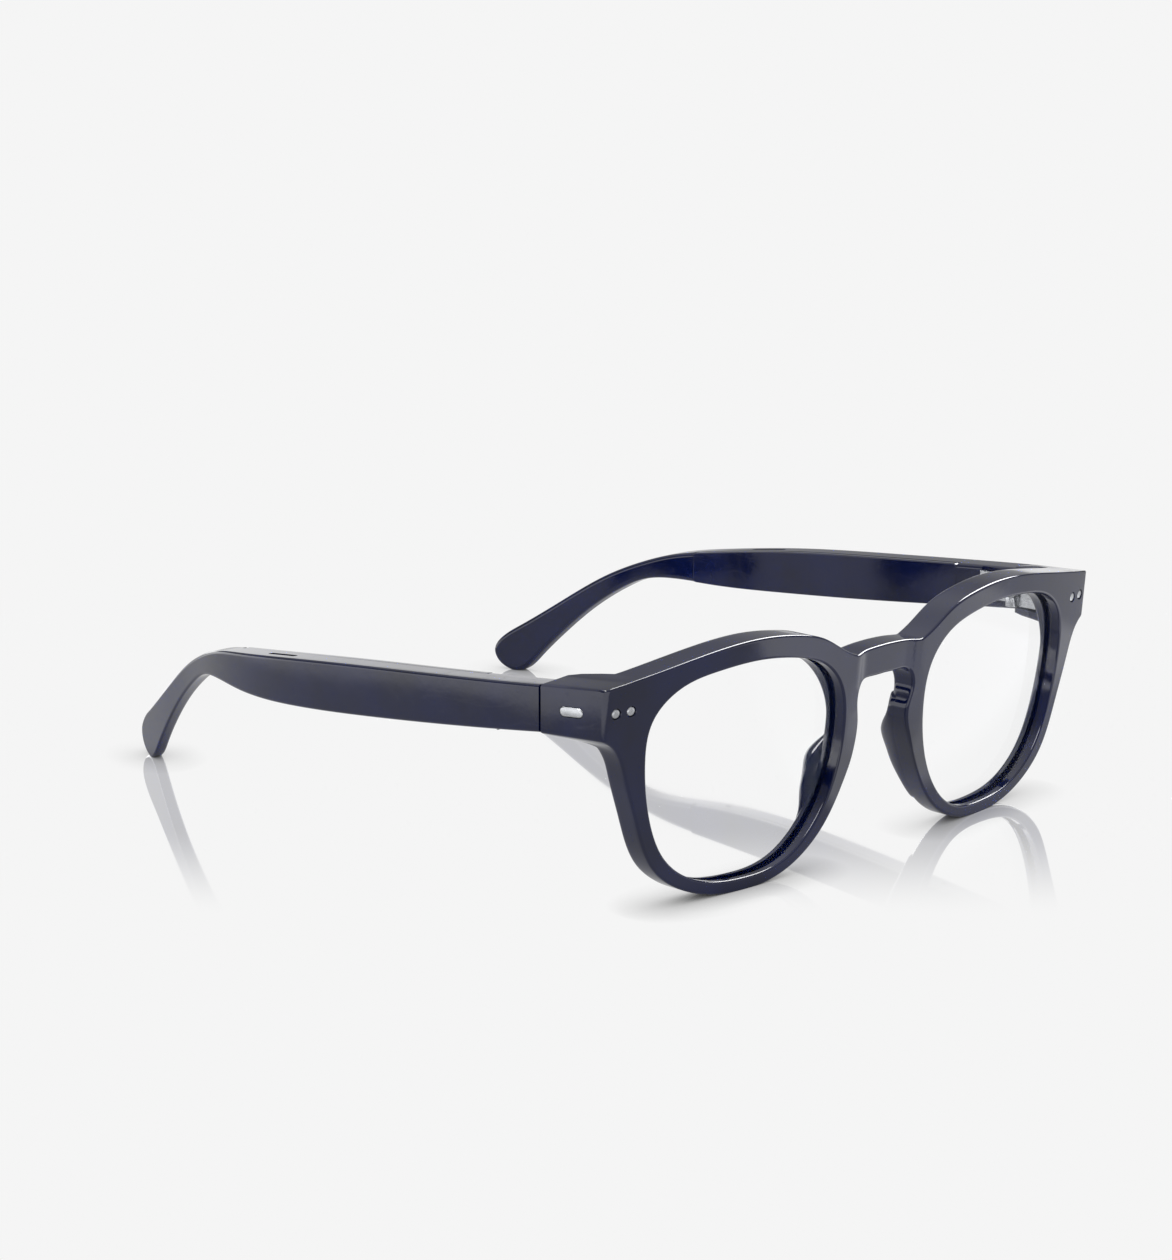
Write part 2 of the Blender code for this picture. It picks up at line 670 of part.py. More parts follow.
def make_charge_coils():
    """Flat rings behind the covers, through which the cells are charged."""
    copper = new_material("coil_copper", (0.72, 0.36, 0.20), 0.35, 1.0)
    bm = place(plate([stadium(*COIL_OUTER), stadium(*COIL_INNER)], COIL_THICK), inside_matrix(*COIL_PLACE))
    mirrored(finish(bm, "charge_coil_left", PARTS, copper), "charge_coil_right")


def make_flex_cables():
    """The flat cable along the top of the hollow, which joins the boards to the microphones."""
    amber = new_material("flex_cable", (0.45, 0.22, 0.04), 0.4)
    places = np.linspace(HOLLOW_START + 2 * FIT_GAP, HOLLOW_END - 2 * FIT_GAP, 8)
    upper = [(y, top_z(y) - CABLE_DROP[0]) for y in places]
    lower = [(y, top_z(y) - CABLE_DROP[1]) for y in places[::-1]]
    near = SHELL_WALL + FIT_GAP
    cable = temple_solid("flex_cable_left", np.array(upper + lower), lambda y: near,
                         lambda y: near + CABLE_THICK, 0.0, PARTS, amber)
    mirrored(cable, "flex_cable_right")


# ---------------------------------------------------------------- hinges

def leaf_outline(arm_end, lean, growth=0.0):
    """A hinge leaf seen from above: a round knuckle and an arm that runs to y = arm_end."""
    side = math.copysign(1.0, arm_end - PIN_Y)
    r = KNUCKLE_R + growth
    inner = KNUCKLE_R - LEAF_THICK - growth
    sweep = 2 * math.pi - math.acos(inner / r)
    end = arm_end + side * growth
    points = [(PIN_X + r + lean, end)]
    for i in range(17):
        angle = -side * sweep * i / 16
        points.append((PIN_X + r * math.cos(angle), PIN_Y + r * math.sin(angle)))
    points.append((PIN_X + inner + lean, end))
    return np.array(points)


def pin_circle(radius, segments=16):
    turns = [2 * math.pi * i / segments for i in range(segments)]
    return [(PIN_X + radius * math.cos(a), PIN_Y + radius * math.sin(a)) for a in turns]


def box_cutter(name, low, high):
    middle = [(a + b) / 2 for a, b in zip(low, high)]
    size = [b - a for a, b in zip(low, high)]
    return finish(place(block(size), at(*middle)), name, CUTTERS, None)


def make_hinges(front, shells):
    """Both hinges: three knuckles on a screw, the outer two on the end piece."""
    bottom, low, high, top = KNUCKLE_SPLITS
    height = top - bottom
    middle = (top + bottom) / 2
    bore = pin_circle(PIN_R + RUN_GAP)
    half_gap = KNUCKLE_GAP / 2
    front_leaf = place(plate([leaf_outline(FRONT_ARM_END, 0.0), bore], height), at(0, 0, middle))
    front_leaf = finish(front_leaf, "hinge_front_left", PARTS, METAL)
    reach = KNUCKLE_R + 0.3
    gap = box_cutter("knuckle_gap_left", (PIN_X - 3, PIN_Y - reach, low - half_gap),
                     (PIN_X + 3, PIN_Y + 3, high + half_gap))
    cut(mirrored(front_leaf, "hinge_front_right"), mirrored(gap, "knuckle_gap_right"))
    cut(front_leaf, gap)
    room = box_cutter("hinge_room_left", (PIN_X - 4, FRONT_ARM_END - FIT_GAP, bottom - FIT_GAP),
                      (PIN_X + KNUCKLE_R + FIT_GAP, PIN_Y + 1, top + FIT_GAP))
    cut(front, room)
    cut(front, mirrored(room, "hinge_room_right"))

    temple_leaf = plate([leaf_outline(TEMPLE_ARM_END, TEMPLE_ARM_LEAN), bore], height - 1.0)
    temple_leaf = finish(place(temple_leaf, at(0, 0, middle)), "hinge_temple_left", PARTS, METAL)
    other_leaf = mirrored(temple_leaf, "hinge_temple_right")
    for name, z0, z1 in (("upper", high - half_gap, top + 1), ("lower", bottom - 1, low + half_gap)):
        notch = box_cutter("knuckle_notch_left_" + name, (PIN_X - 3, PIN_Y - 3, z0),
                           (PIN_X + 3, PIN_Y + reach, z1))
        cut(temple_leaf, notch)
        cut(other_leaf, mirrored(notch, "knuckle_notch_right_" + name))
    outline = leaf_outline(TEMPLE_ARM_END, TEMPLE_ARM_LEAN, FIT_GAP)
    seat = finish(place(plate([outline], height + 2 * FIT_GAP), at(0, 0, middle)),
                  "hinge_seat_left", CUTTERS, None)
    cut(shells[0], seat)
    cut(shells[1], mirrored(seat, "hinge_seat_right"))

    pin = place(cylinder(PIN_R, height, 16), at(PIN_X, PIN_Y, middle))
    mirrored(finish(pin, "hinge_screw_left", PARTS, METAL), "hinge_screw_right")


# ---------------------------------------------------------------- push button

def make_button(right_shell):
    """The button under the right temple, its switch, and the pocket that holds both."""
    y = BUTTON_Y
    turn = lying_turn(y, bottom_z, -1.0)
    down = turn @ Vector((0.0, 0.0, 1.0))
    skin = Vector((plan_x(y) - BUTTON_DEPTH_IN, y, bottom_z(y)))
    length, width, thick = BUTTON_SIZE
    slot = grown(stadium(length, width), BUTTON_CLEARANCE)
    proud = 2.0
    seat = at(*(skin - down * (POCKET_DEPTH - proud) / 2), turn)
    pocket = place(plate([slot], POCKET_DEPTH + proud), seat)
    source = finish(pocket, "button_pocket", CUTTERS, None)
    cut(right_shell, mirrored(source, "button_pocket_right"))
    bpy.data.objects.remove(source)
    cap = plate([stadium(length, width)], thick, BUTTON_EDGE)
    cap = finish(place(cap, at(*(skin + down * (BUTTON_PROUD - thick / 2)), turn)), "cap", PARTS, DARK)
    mirrored(cap, "push_button")
    bpy.data.objects.remove(cap)
    seat = skin - down * (POCKET_DEPTH - SWITCH_RISE)
    switch = finish(place(block(SWITCH_SIZE, SWITCH_EDGE), at(*seat, turn)), "switch", PARTS, METAL)
    mirrored(switch, "button_switch")
    bpy.data.objects.remove(switch)


def hang(name, x, y, z, pieces):
    """Parents the pieces to an empty on their joint, without moving them."""
    empty = bpy.data.objects.new(name, None)
    empty.location = Vector((x, y - Y_ORIGIN, z)) * MM
    PARTS.objects.link(empty)
    for piece in pieces:
        piece.parent = empty
        piece.matrix_parent_inverse = Matrix.Translation(-empty.location)


def hang_moving_pieces():
    """Each temple with what it carries turns about its hinge's pin; the button slides in its pocket."""
    carried = ("temple_", "hinge_temple_", "vent_grille_", "battery_", "circuit_board_", "processor_",
               "speaker_", "microphone_", "charge_coil_", "flex_cable_")
    middle = (KNUCKLE_SPLITS[0] + KNUCKLE_SPLITS[-1]) / 2
    for side, x in (("left", PIN_X), ("right", -PIN_X)):
        pieces = [p for p in PARTS.objects if p.name.startswith(carried) and side in p.name]
        if side == "right":
            pieces.append(PARTS.objects["button_switch"])
        hang(f"hinge_axis_{side}", x, PIN_Y, middle, pieces)
    button = PARTS.objects["push_button"]
    hang("button_axis", BUTTON_DEPTH_IN - plan_x(BUTTON_Y), BUTTON_Y, bottom_z(BUTTON_Y), [button])


for existing in list(bpy.data.objects):
    bpy.data.objects.remove(existing)
PARTS = new_collection("smart_glasses")
CUTTERS = new_collection("cutters")
PLASTIC = new_material("navy_plastic", NAVY, 0.12)
GLASS = new_material("clear_lens", (0.95, 0.97, 1.0), 0.02, alpha=0.3, transmission=1.0)
METAL = new_material("satin_steel", STEEL, 0.3, metallic=1.0)
MESH = new_material("vent_mesh", (0.05, 0.05, 0.06), 0.6, metallic=0.4)
DARK = new_material("button_plastic", (0.010, 0.012, 0.030), 0.3)

front_frame = make_front()
make_lenses(front_frame)
make_rivets(front_frame)
make_inlays(front_frame)
make_nose_pads()
temple_shells = make_temple_shells()
make_vents(*temple_shells)
make_microphone_ports(*temple_shells)
make_electronics()
make_charge_coils()
make_flex_cables()
make_hinges(front_frame, temple_shells)
make_button(temple_shells[1])
hang_moving_pieces()
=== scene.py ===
"""The looks of the audio smart glasses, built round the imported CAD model.

Frame: metres, +Z up, the table is z = 0. The wearer looks towards -Y, the temples run to +Y, and the
wearer's left is +X. Design lengths below are in millimetres, measured from the front's own plane y = 0,
as in the CAD source. Each left piece is built once and mirrored to the right.
"""

import json
import math

import bmesh
import bpy
import numpy as np
from mathutils import Matrix, Vector
from mathutils.geometry import delaunay_2d_cdt

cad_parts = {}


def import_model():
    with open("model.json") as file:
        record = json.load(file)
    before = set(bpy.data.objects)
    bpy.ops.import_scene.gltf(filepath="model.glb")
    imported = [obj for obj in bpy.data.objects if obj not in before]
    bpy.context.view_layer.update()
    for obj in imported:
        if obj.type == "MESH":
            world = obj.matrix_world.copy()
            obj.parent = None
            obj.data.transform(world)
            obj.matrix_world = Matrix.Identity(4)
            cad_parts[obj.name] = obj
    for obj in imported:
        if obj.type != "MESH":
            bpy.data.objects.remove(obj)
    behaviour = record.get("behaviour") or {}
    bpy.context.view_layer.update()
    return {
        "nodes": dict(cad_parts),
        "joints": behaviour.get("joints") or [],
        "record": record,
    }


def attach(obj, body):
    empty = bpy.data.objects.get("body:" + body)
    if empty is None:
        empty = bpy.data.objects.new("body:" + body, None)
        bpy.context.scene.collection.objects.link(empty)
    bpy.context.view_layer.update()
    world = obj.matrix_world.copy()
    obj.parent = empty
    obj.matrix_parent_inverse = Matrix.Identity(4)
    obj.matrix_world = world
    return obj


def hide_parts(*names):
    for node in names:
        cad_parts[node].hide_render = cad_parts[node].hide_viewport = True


MM = 0.001
SHARP = math.radians(35.0)  # edges that turn more than this stay hard

# front
FRONT_WRAP = 0.0013       # the front's surface is y = wrap * x^2 - lean * (z - LEAN_Z)
FRONT_LEAN = 0.0833
LEAN_Z = 20.0
RIM_DEPTH = 4.8
BROW_DEPTH = 6.5
BROW_RISE = (27.0, 38.0)  # heights between which the front thickens
FRONT_EDGE = 0.42
BACK_EDGE = 0.9
SEAM_EDGE = 0.12
EDGE_ROWS = 4
FACE_BORDER = 0.12        # flat border between an edge's rounding and the face's own points
CORNER_X = 67.6           # half width at the front's outer corners
CORNER_RADIUS = 0.8
CORNER_ARC = 0.55
BLOCK_IN = 63.1           # inner face of the end piece's block
BLOCK_FILLET = 2.4
BLOCK_FLARE = 1.8         # how much wider the block is at the seam than at the corner
BLOCK_FOOT = (30.6, 32.4)  # heights between which the block grows out of the rim
BLOCK_SLOPE = 0.03        # how fast the block drops towards the seam, at the height BLOCK_LOW
BLOCK_TAPER = 0.0048      # and how much faster a millimetre higher up
BLOCK_LOW = 32.5
SEAM_Y = 18.0
SEAM_GAP = 0.3
GROOVE_DEPTH = 0.85
BRIDGE_RECESS = 0.8       # how far the bridge's face lies behind the rims'
BRIDGE_HALF = (5.6, 9.4)  # where the recess starts and ends, out from the middle
LINE_STEP = 0.7           # spacing of points along the outlines
FACE_STEP = 1.5           # spacing of points over the faces

# lenses
LENS_CENTRE = (34.7, 22.2)
LENS_SEAT = 1.5           # depth of the lens's middle below the front's surface
LENS_DOME = 250.0
LENS_THICK = 1.8
LENS_PLAY = 0.05          # of the groove beside the lens, on each side
LENS_LIP = 0.7

# temples
TEMPLE_THICK = 5.9
TIP_THICK = 2.9
THINNING = (90.0, 140.0)  # where along the temple it thins down
OUTER_EDGE = 0.5
INNER_EDGE = 0.8
SHELL_WALL = 1.3
COVER_THICK = 1.4
COVER_START = 34.0
COVER_END = 104.0
COVER_GAP = 0.05
HOLLOW_START = 35.4
HOLLOW_END = 101.5
HOLLOW_MARGIN = 1.4
VENT_Y = 87.0
VENT_SIZE = (8.6, 1.0)
VENT_DEPTH_IN = 2.5       # how far in from the temple's outer face
VENT_SLOT = 5.0           # height of the slot's cutter
GRILLE_THICK = 0.8
GRILLE_SINK = 0.65        # its middle below the temple's top
GRILLE_PITCH = 0.45
PORT_PLACES = (38.0, 97.0)
PORT_DEPTH_IN = 2.2
RUN_GAP = 0.06

# hinge
PIN_Y = 18.15
KNUCKLE_R = 1.35
PIN_R = 0.55
LEAF_THICK = 1.0
KNUCKLE_SPLITS = (33.4, 35.4, 37.6, 39.6)
KNUCKLE_PLAY = 0.06
FRONT_ARM_END = 11.5
TEMPLE_ARM_END = 27.0
TEMPLE_ARM_LEAN = 0.65

# small pieces
BUTTON_Y = 29.8
BUTTON_SIZE = (5.2, 2.0, 1.3)
BUTTON_PROUD = 0.3
BUTTON_DEPTH_IN = 2.6
BUTTON_CLEARANCE = 0.1
POCKET_DEPTH = 2.9
RIVETS = {"inner": (62.2, 37.4), "outer": (65.3, 37.4)}
RIVET_R = 0.9
RIVET_SINK = 0.12
INLAY_AT = (11.5, 37.0)
INLAY_SIZE = (4.8, 1.7, 1.0)
INLAY_PROUD = 0.08
INLAY_POCKET_TOP = 0.9    # how far the pocket's cutter stands out of the side
CUTTER_PROUD = 2.0        # how far other cutters reach outside what they cut

FRONT = ("front", "front")
TEMPLES = ("temple_left", "temple_right")

# studio
TABLE_LEVEL = 0.913       # how bright the table looks
MIRROR_SHARE = 0.45       # of what the table shows near the object
ROOM_LEVEL = 0.38         # the room a little above the horizon
CEILING_LEVEL = 1.25
DOME_LEVEL = 1.2          # of the even light on everything that isn't mirrored
PATCH_LEVELS = (0.75, 2.15)  # the table as the object's gloss sees it, dim and lit
VIEW_ALONG = (0.7127, 0.7015, 0.0)
MIRROR_NEAR = (-0.09, -0.035)  # along the view, where the mirror image comes in
MIRROR_FAR = (0.2, 0.13)
MIRROR_OUT = (0.25, 0.18)  # distance from the middle at which it has gone, and starts to go
MIRROR_SLANT = (0.5, 0.68)
CONTACT_REACH = 0.009     # of the small shadows where the object stands
TABLE_CORNERS = ((-60.0, -60.0, 0.0), (60.0, -60.0, 0.0), (0.0, 80.0, 0.0))
SOFT_BOXES = (
    # towards, angles in degrees, level
    ((0.69, 0.1, 0.71), (17, 20), 22.0),
    ((-0.62, 0.2, 0.755), (13, 17), 15.0),
)
CAMERA_AT = (-0.41939, -0.41281, 0.16582)
CAMERA_TOWARDS = (0.6943, 0.6834, -0.2258)
CAMERA_LENS = 87.39

NAVY = (0.0007, 0.003, 0.027)
WHITE = (1.0, 1.0, 1.0)
BLACK = (0.0, 0.0, 0.0)

LENS_KNOTS = (
    (58.35, 27.5), (57.3, 34.8), (52.0, 39.5), (43.5, 41.45), (34.0, 41.95), (25.0, 40.95),
    (17.4, 38.4), (12.8, 33.4), (11.5, 26.0), (13.2, 16.3), (17.6, 8.6), (24.1, 3.65),
    (34.5, 2.25), (44.4, 3.75), (52.6, 9.2), (57.0, 18.6),
)
BROW_KNOTS = (
    (9.0, 38.75), (11.4, 39.75), (17.8, 43.2), (25.0, 45.15), (34.5, 45.95), (46.0, 45.05),
    (58.7, 43.1), (CORNER_X, 41.85),
)
RIM_KNOTS = (
    (CORNER_X, 32.9), (65.6, 31.5), (62.5, 25.2), (59.7, 17.3), (55.7, 8.5), (47.5, 2.4),
    (35.0, -0.25), (23.2, 1.6), (14.6, 7.9), (9.2, 17.4), (7.0, 26.5), (7.75, 31.0),
    (6.4, 33.4), (3.5, 33.8), (0.0, 33.85),
)
BRIDGE_TOP = ((0.0, 39.4), (4.5, 39.25), (9.0, 38.75))
TEMPLE_PLAN = (
    (4.4, 67.6), (18.0, 69.45), (30.0, 70.3), (60.0, 71.0), (90.0, 70.1), (110.0, 65.8),
    (125.0, 60.6), (138.0, 56.4), (153.0, 51.3),
)
TEMPLE_TOP = (
    (SEAM_Y + SEAM_GAP, 40.75), (50.0, 37.9), (80.0, 35.0), (100.0, 32.4), (110.0, 30.6),
    (117.0, 28.3), (125.0, 24.7), (135.0, 18.5), (147.0, 10.4), (151.2, 7.3),
)
TEMPLE_TIP = ((152.8, 4.6), (151.9, 1.9), (149.7, 0.3), (147.4, -0.12), (145.3, 0.9))
TEMPLE_BOTTOM = (
    (143.0, 3.3), (137.0, 9.7), (131.0, 15.3), (122.3, 21.6), (116.5, 24.4), (110.0, 25.3),
    (100.0, 25.2), (80.0, 26.0), (50.0, 28.8), (SEAM_Y + SEAM_GAP, 32.45),
)
NOSE_PAD_STATIONS = (
    # height, reach behind the rim
    (28.4, 0.15), (26.5, 0.3), (24.6, 0.6), (22.8, 1.8), (21.3, 3.0), (19.5, 3.76), (17.8, 3.5),
    (15.8, 3.0), (13.8, 2.6), (11.5, 1.7), (9.6, 0.9), (7.5, 0.4), (5.5, 0.15),
)
NOSE_PAD_WIDTH = 3.0
NOSE_PAD_FLARE = 0.5


# ---------------------------------------------------------------- curves

def spline(knots, spacing, closed=False):
    """Points about `spacing` apart on the smooth cubic curve through the knots."""
    pts = np.array(knots, float)
    if closed:
        pts = np.vstack([pts, pts[:1]])
    gaps = np.linalg.norm(np.diff(pts, axis=0), axis=1)
    t = np.concatenate([[0.0], np.cumsum(gaps)])
    n = len(t)
    rows = np.zeros((n, n))
    side = np.zeros((n, pts.shape[1]))
    for i in range(1, n - 1):
        rows[i, i - 1:i + 2] = (gaps[i - 1], 2 * (gaps[i - 1] + gaps[i]), gaps[i])
        side[i] = 6 * ((pts[i + 1] - pts[i]) / gaps[i] - (pts[i] - pts[i - 1]) / gaps[i - 1])
    if closed:
        rows[0, 0] = 1.0
        rows[0, -1] = -1.0
        rows[-1, 0] = 2 * gaps[0]
        rows[-1, 1] = gaps[0]
        rows[-1, -2] = gaps[-1]
        rows[-1, -1] = 2 * gaps[-1]
        side[-1] = 6 * ((pts[1] - pts[0]) / gaps[0] - (pts[-1] - pts[-2]) / gaps[-1])
    else:
        rows[0, 0] = 1.0
        rows[-1, -1] = 1.0
    bend = np.linalg.solve(rows, side)
    count = max(2, round(t[-1] / spacing))
    u = np.linspace(0.0, t[-1], count + 1)
    i = np.clip(np.searchsorted(t, u, side="right") - 1, 0, n - 2)
    h = gaps[i][:, None]
    a = (t[i + 1] - u)[:, None]
    b = (u - t[i])[:, None]
    cubic = (bend[i] * a ** 3 + bend[i + 1] * b ** 3) / (6 * h)
    points = cubic + (pts[i] / h - bend[i] * h / 6) * a + (pts[i + 1] / h - bend[i + 1] * h / 6) * b
    return points[:-1] if closed else points


def smooth(value, low, high):
    t = np.clip((value - low) / (high - low), 0.0, 1.0)
    return t * t * (3 - 2 * t)


def thinned(points, spacing):
    """The points of a line that lie at least spacing(u, v) apart, with both ends kept."""
    kept = [points[0]]
    run = 0.0
    for before, point in zip(points[:-2], points[1:-1]):
        run += np.hypot(*(point - before))
        if run >= spacing(*point):
            kept.append(point)
            run = 0.0
    kept.append(points[-1])
    return np.array(kept)


def fillet(before, after, radius, steps=6):
    """Two lines of points that meet at a corner, joined by an arc."""
    corner = before[-1]
    near = [np.hypot(*(p - corner)) for p in before]
    far = [np.hypot(*(p - corner)) for p in after]
    back = before[max(i for i, d in enumerate(near) if d > radius)] - corner
    on = after[min(i for i, d in enumerate(far) if d > radius)] - corner
    back /= np.hypot(*back)
    on /= np.hypot(*on)
    half = math.acos(float(np.clip(back @ on, -1.0, 1.0))) / 2
    reach = radius / math.tan(half)
    middle = corner + (back + on) / np.hypot(*(back + on)) * radius / math.sin(half)
    first = corner + back * reach - middle
    last = corner + on * reach - middle
    turn = math.pi - 2 * half
    arc = [middle + (first * math.sin((1 - t) * turn) + last * math.sin(t * turn)) / math.sin(turn)
           for t in np.linspace(0.0, 1.0, steps + 1)]
    clear = reach + 0.08
    head = [p for p, d in zip(before, near) if d > clear]
    tail = [p for p, d in zip(after, far) if d > clear]
    return np.array(head + arc + tail)


def moved(loop, distance):
    """The closed outline with its points moved outwards, each by its own distance."""
    step = np.roll(loop, -1, axis=0) - loop
    step /= np.linalg.norm(step, axis=1)[:, None]
    x, y = loop[:, 0], loop[:, 1]
    area = np.sum(x * np.roll(y, -1) - np.roll(x, -1) * y)
    onward = np.stack([step[:, 1], -step[:, 0]], axis=1) * np.sign(area)
    total = onward + np.roll(onward, 1, axis=0)
    mitre = 2 * total / np.sum(total * total, axis=1)[:, None]
    return loop + mitre * np.broadcast_to(distance, len(loop))[:, None]


def stadium(length, height, steps=12):
    """A slot-shaped outline centred on the origin, with half-round ends."""
    r = height / 2
    points = []
    for end in (1, -1):
        for i in range(steps + 1):
            angle = math.pi * i / steps - end * math.pi / 2
            centre = end * (length / 2 - r)
            points.append((centre + r * math.cos(angle), r * math.sin(angle)))
    return np.array(points)


def circle(u, v, radius, segments=12):
    turns = np.linspace(0.0, 2 * math.pi, segments, endpoint=False)
    return np.stack([u + radius * np.cos(turns), v + radius * np.sin(turns)], axis=1)


def grid(u0, u1, v0, v1, step_u, step_v):
    """Points all over a rectangle, with every other row shifted by half a step."""
    points = []
    for row, v in enumerate(np.arange(v0, v1, step_v)):
        points += [(u, v) for u in np.arange(u0 + 0.5 * step_u * (row % 2), u1, step_u)]
    return points


def edge_arc():
    """(inset, sink) shares of an edge's radius, round a quarter circle from a face to its wall."""
    return [(1 - math.sin(a), 1 - math.cos(a)) for a in np.linspace(0.0, math.pi / 2, EDGE_ROWS + 1)]


PLAN = spline(TEMPLE_PLAN, 0.5)
SIDE = spline(TEMPLE_TOP + TEMPLE_TIP + TEMPLE_BOTTOM, 0.25)
REAR = int(np.argmax(SIDE[:, 0]))


def plan_x(y):
    """Half width at a temple's outer face."""
    return np.interp(y, PLAN[:, 0], PLAN[:, 1])


def top_z(y):
    return float(np.interp(y, SIDE[:REAR, 0], SIDE[:REAR, 1]))


def bottom_z(y):
    return float(np.interp(y, SIDE[REAR:, 0][::-1], SIDE[REAR:, 1][::-1]))


def temple_thickness(y):
    return TEMPLE_THICK + (TIP_THICK - TEMPLE_THICK) * smooth(y, *THINNING)


def face_y(x, z):
    """The front's surface, without its recess at the bridge."""
    return FRONT_WRAP * x * x - FRONT_LEAN * (z - LEAN_Z)


# ---------------------------------------------------------------- mesh helpers

def world(points):
    """Vectors in metres in the shared frame, from design points in millimetres."""
    return [Vector((x, y - Y_ORIGIN, z)) * MM for x, y, z in np.asarray(points, float)]


def new_ring(bm, points):
    return [bm.verts.new(p) for p in world(points)]


def loft(bm, rings):
    """Quads between closed rings of vertices, one after another."""
    for a, b in zip(rings, rings[1:]):
        for i in range(len(a)):
            j = (i + 1) % len(a)
            bm.faces.new((a[i], a[j], b[j], b[i]))


def within(points, border, edges):
    """Whether each point is inside the loops, counting the edges that a ray from it crosses."""
    a, b = border[edges[:, 0]], border[edges[:, 1]]
    rise = b[:, 1] - a[:, 1]
    rise[rise == 0] = 1.0
    u, v = points[:, :1], points[:, 1:]
    beside = (a[:, 1] > v) != (b[:, 1] > v)
    ahead = u < a[:, 0] + (b[:, 0] - a[:, 0]) * (v - a[:, 1]) / rise
    return np.sum(beside & ahead, axis=1) % 2 == 1


def border_distance(points, border, edges):
    """Distance from each point to the nearest of the edges."""
    a = border[edges[:, 0]][None]
    along = border[edges[:, 1]][None] - a
    off = points[:, None] - a
    share = np.clip(np.sum(off * along, axis=2) / np.sum(along * along, axis=2), 0.0, 1.0)
    return np.min(np.linalg.norm(off - along * share[..., None], axis=2), axis=1)


def cap(bm, loops, inside, place):
    """Triangles over the area between loops, given as (vertices, flat points) pairs. `inside` lists
    (flat points, clearance) groups of extra points, and place(flat points) gives their places."""
    flat = [tuple(p) for _, points in loops for p in points]
    verts = [v for vertices, _ in loops for v in vertices]
    edges = []
    for vertices, _ in loops:
        start = len(edges)
        edges += [(start + i, start + (i + 1) % len(vertices)) for i in range(len(vertices))]
    border = np.array(flat)
    for points, clearance in inside:
        away = border_distance(np.array(points), border, np.array(edges))
        flat += [tuple(p) for p, d in zip(points, away) if d > clearance]
    places = world(place(np.array(flat[len(verts):]))) if len(flat) > len(verts) else []
    made = delaunay_2d_cdt([Vector(p) for p in flat], edges, [], 1, 1e-6)
    middles = np.array([sum((np.array(made[0][i]) for i in face), np.zeros(2)) / 3 for face in made[2]])
    solid_part = within(middles, border, np.array(edges))
    extra = {}
    for face, keep in zip(made[2], solid_part):
        corners = []
        for index in face if keep else ():
            source = made[3][index][0]
            if source < len(verts):
                corners.append(verts[source])
                continue
            if source not in extra:
                extra[source] = bm.verts.new(places[source - len(verts)])
            corners.append(extra[source])
        if corners:
            bm.faces.new(corners)


def solid(bm, name):
    """An object from a closed bmesh, with its faces turned outwards."""
    bmesh.ops.recalc_face_normals(bm, faces=bm.faces)
    if bm.calc_volume(signed=True) < 0:
        bmesh.ops.reverse_faces(bm, faces=bm.faces)
    mesh = bpy.data.meshes.new(name)
    bm.to_mesh(mesh)
    bm.free()
    obj = bpy.data.objects.new(name, mesh)
    bpy.context.scene.collection.objects.link(obj)
    return obj


def mirrored(source, name):
    bm = bmesh.new()
    bm.from_mesh(source.data)
    bmesh.ops.scale(bm, vec=(-1.0, 1.0, 1.0), verts=bm.verts)
    return solid(bm, name)


def evaluated(obj):
    """The object with its modifiers made part of its mesh."""
    graph = bpy.context.evaluated_depsgraph_get()
    mesh = bpy.data.meshes.new_from_object(obj.evaluated_get(graph), depsgraph=graph)
    obj.modifiers.clear()
    obj.data = mesh
    return obj


def carve(obj, *cutters, operation="DIFFERENCE"):
    """Cuts the closed cutters out of the object, and removes them."""
    for cutter in cutters:
        modifier = obj.modifiers.new(cutter.name, "BOOLEAN")
        modifier.operation = operation
        modifier.object = cutter
    evaluated(obj)
    for cutter in cutters:
        bpy.data.objects.remove(cutter)


def soften(obj, width, segments):
    """Rounds the object's hard edges."""
    bevel = obj.modifiers.new("soft_edges", "BEVEL")
    bevel.width = width * MM
    bevel.segments = segments
    bevel.limit_method = "ANGLE"
    bevel.angle_limit = SHARP
    bevel.harden_normals = True
    return obj


def piece(obj, body, material, node):
    """Finishes a visible piece: shading, material, body and the CAD node that it stands for."""
    obj.data.shade_smooth()
    obj.data.set_sharp_from_angle(angle=SHARP)
    obj.data.materials.clear()
    obj.data.materials.append(material)
    weighted = obj.modifiers.new("face_normals", "WEIGHTED_NORMAL")
    weighted.keep_sharp = True
    weighted.weight = 90
    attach(obj, body)
    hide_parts(node)


def both_sides(left, node, bodies, material):
    """Finishes a left piece and its mirror image; bodies are those of the left and right pieces."""
    right = mirrored(left, node + "_fine_right")
    piece(left, bodies[0], material, node + "_left")
    piece(right, bodies[1], material, node + "_right")


def plate(loops, thickness, edge=0.0, rows=0):
    """A flat plate with rounded edges that fills the outlines, centred on its own thickness."""
    curve = bpy.data.curves.new("outline", "CURVE")
    curve.dimensions = "2D"
    curve.fill_mode = "BOTH"
    curve.extrude = (thickness / 2 - edge) * MM
    curve.bevel_depth = edge * MM
    curve.bevel_resolution = rows
    curve.offset = -edge * MM
    for loop in loops:
        line = curve.splines.new("POLY")
        line.points.add(len(loop) - 1)
        for point, (u, v) in zip(line.points, loop):
            point.co = (u * MM, v * MM, 0.0, 1.0)
        line.use_cyclic_u = True
    holder = bpy.data.objects.new("outline", curve)
    bpy.context.scene.collection.objects.link(holder)
    graph = bpy.context.evaluated_depsgraph_get()
    mesh = bpy.data.meshes.new_from_object(holder.evaluated_get(graph))
    bpy.data.objects.remove(holder)
    bm = bmesh.new()
    bm.from_mesh(mesh)
    bmesh.ops.remove_doubles(bm, verts=bm.verts, dist=0.00001)
    return bm


def at(x, y, z, rotation=None):
    """Placement matrix for a design point given in millimetres."""
    move = Matrix.Translation((x * MM, (y - Y_ORIGIN) * MM, z * MM))
    return move @ rotation.to_4x4() if rotation else move


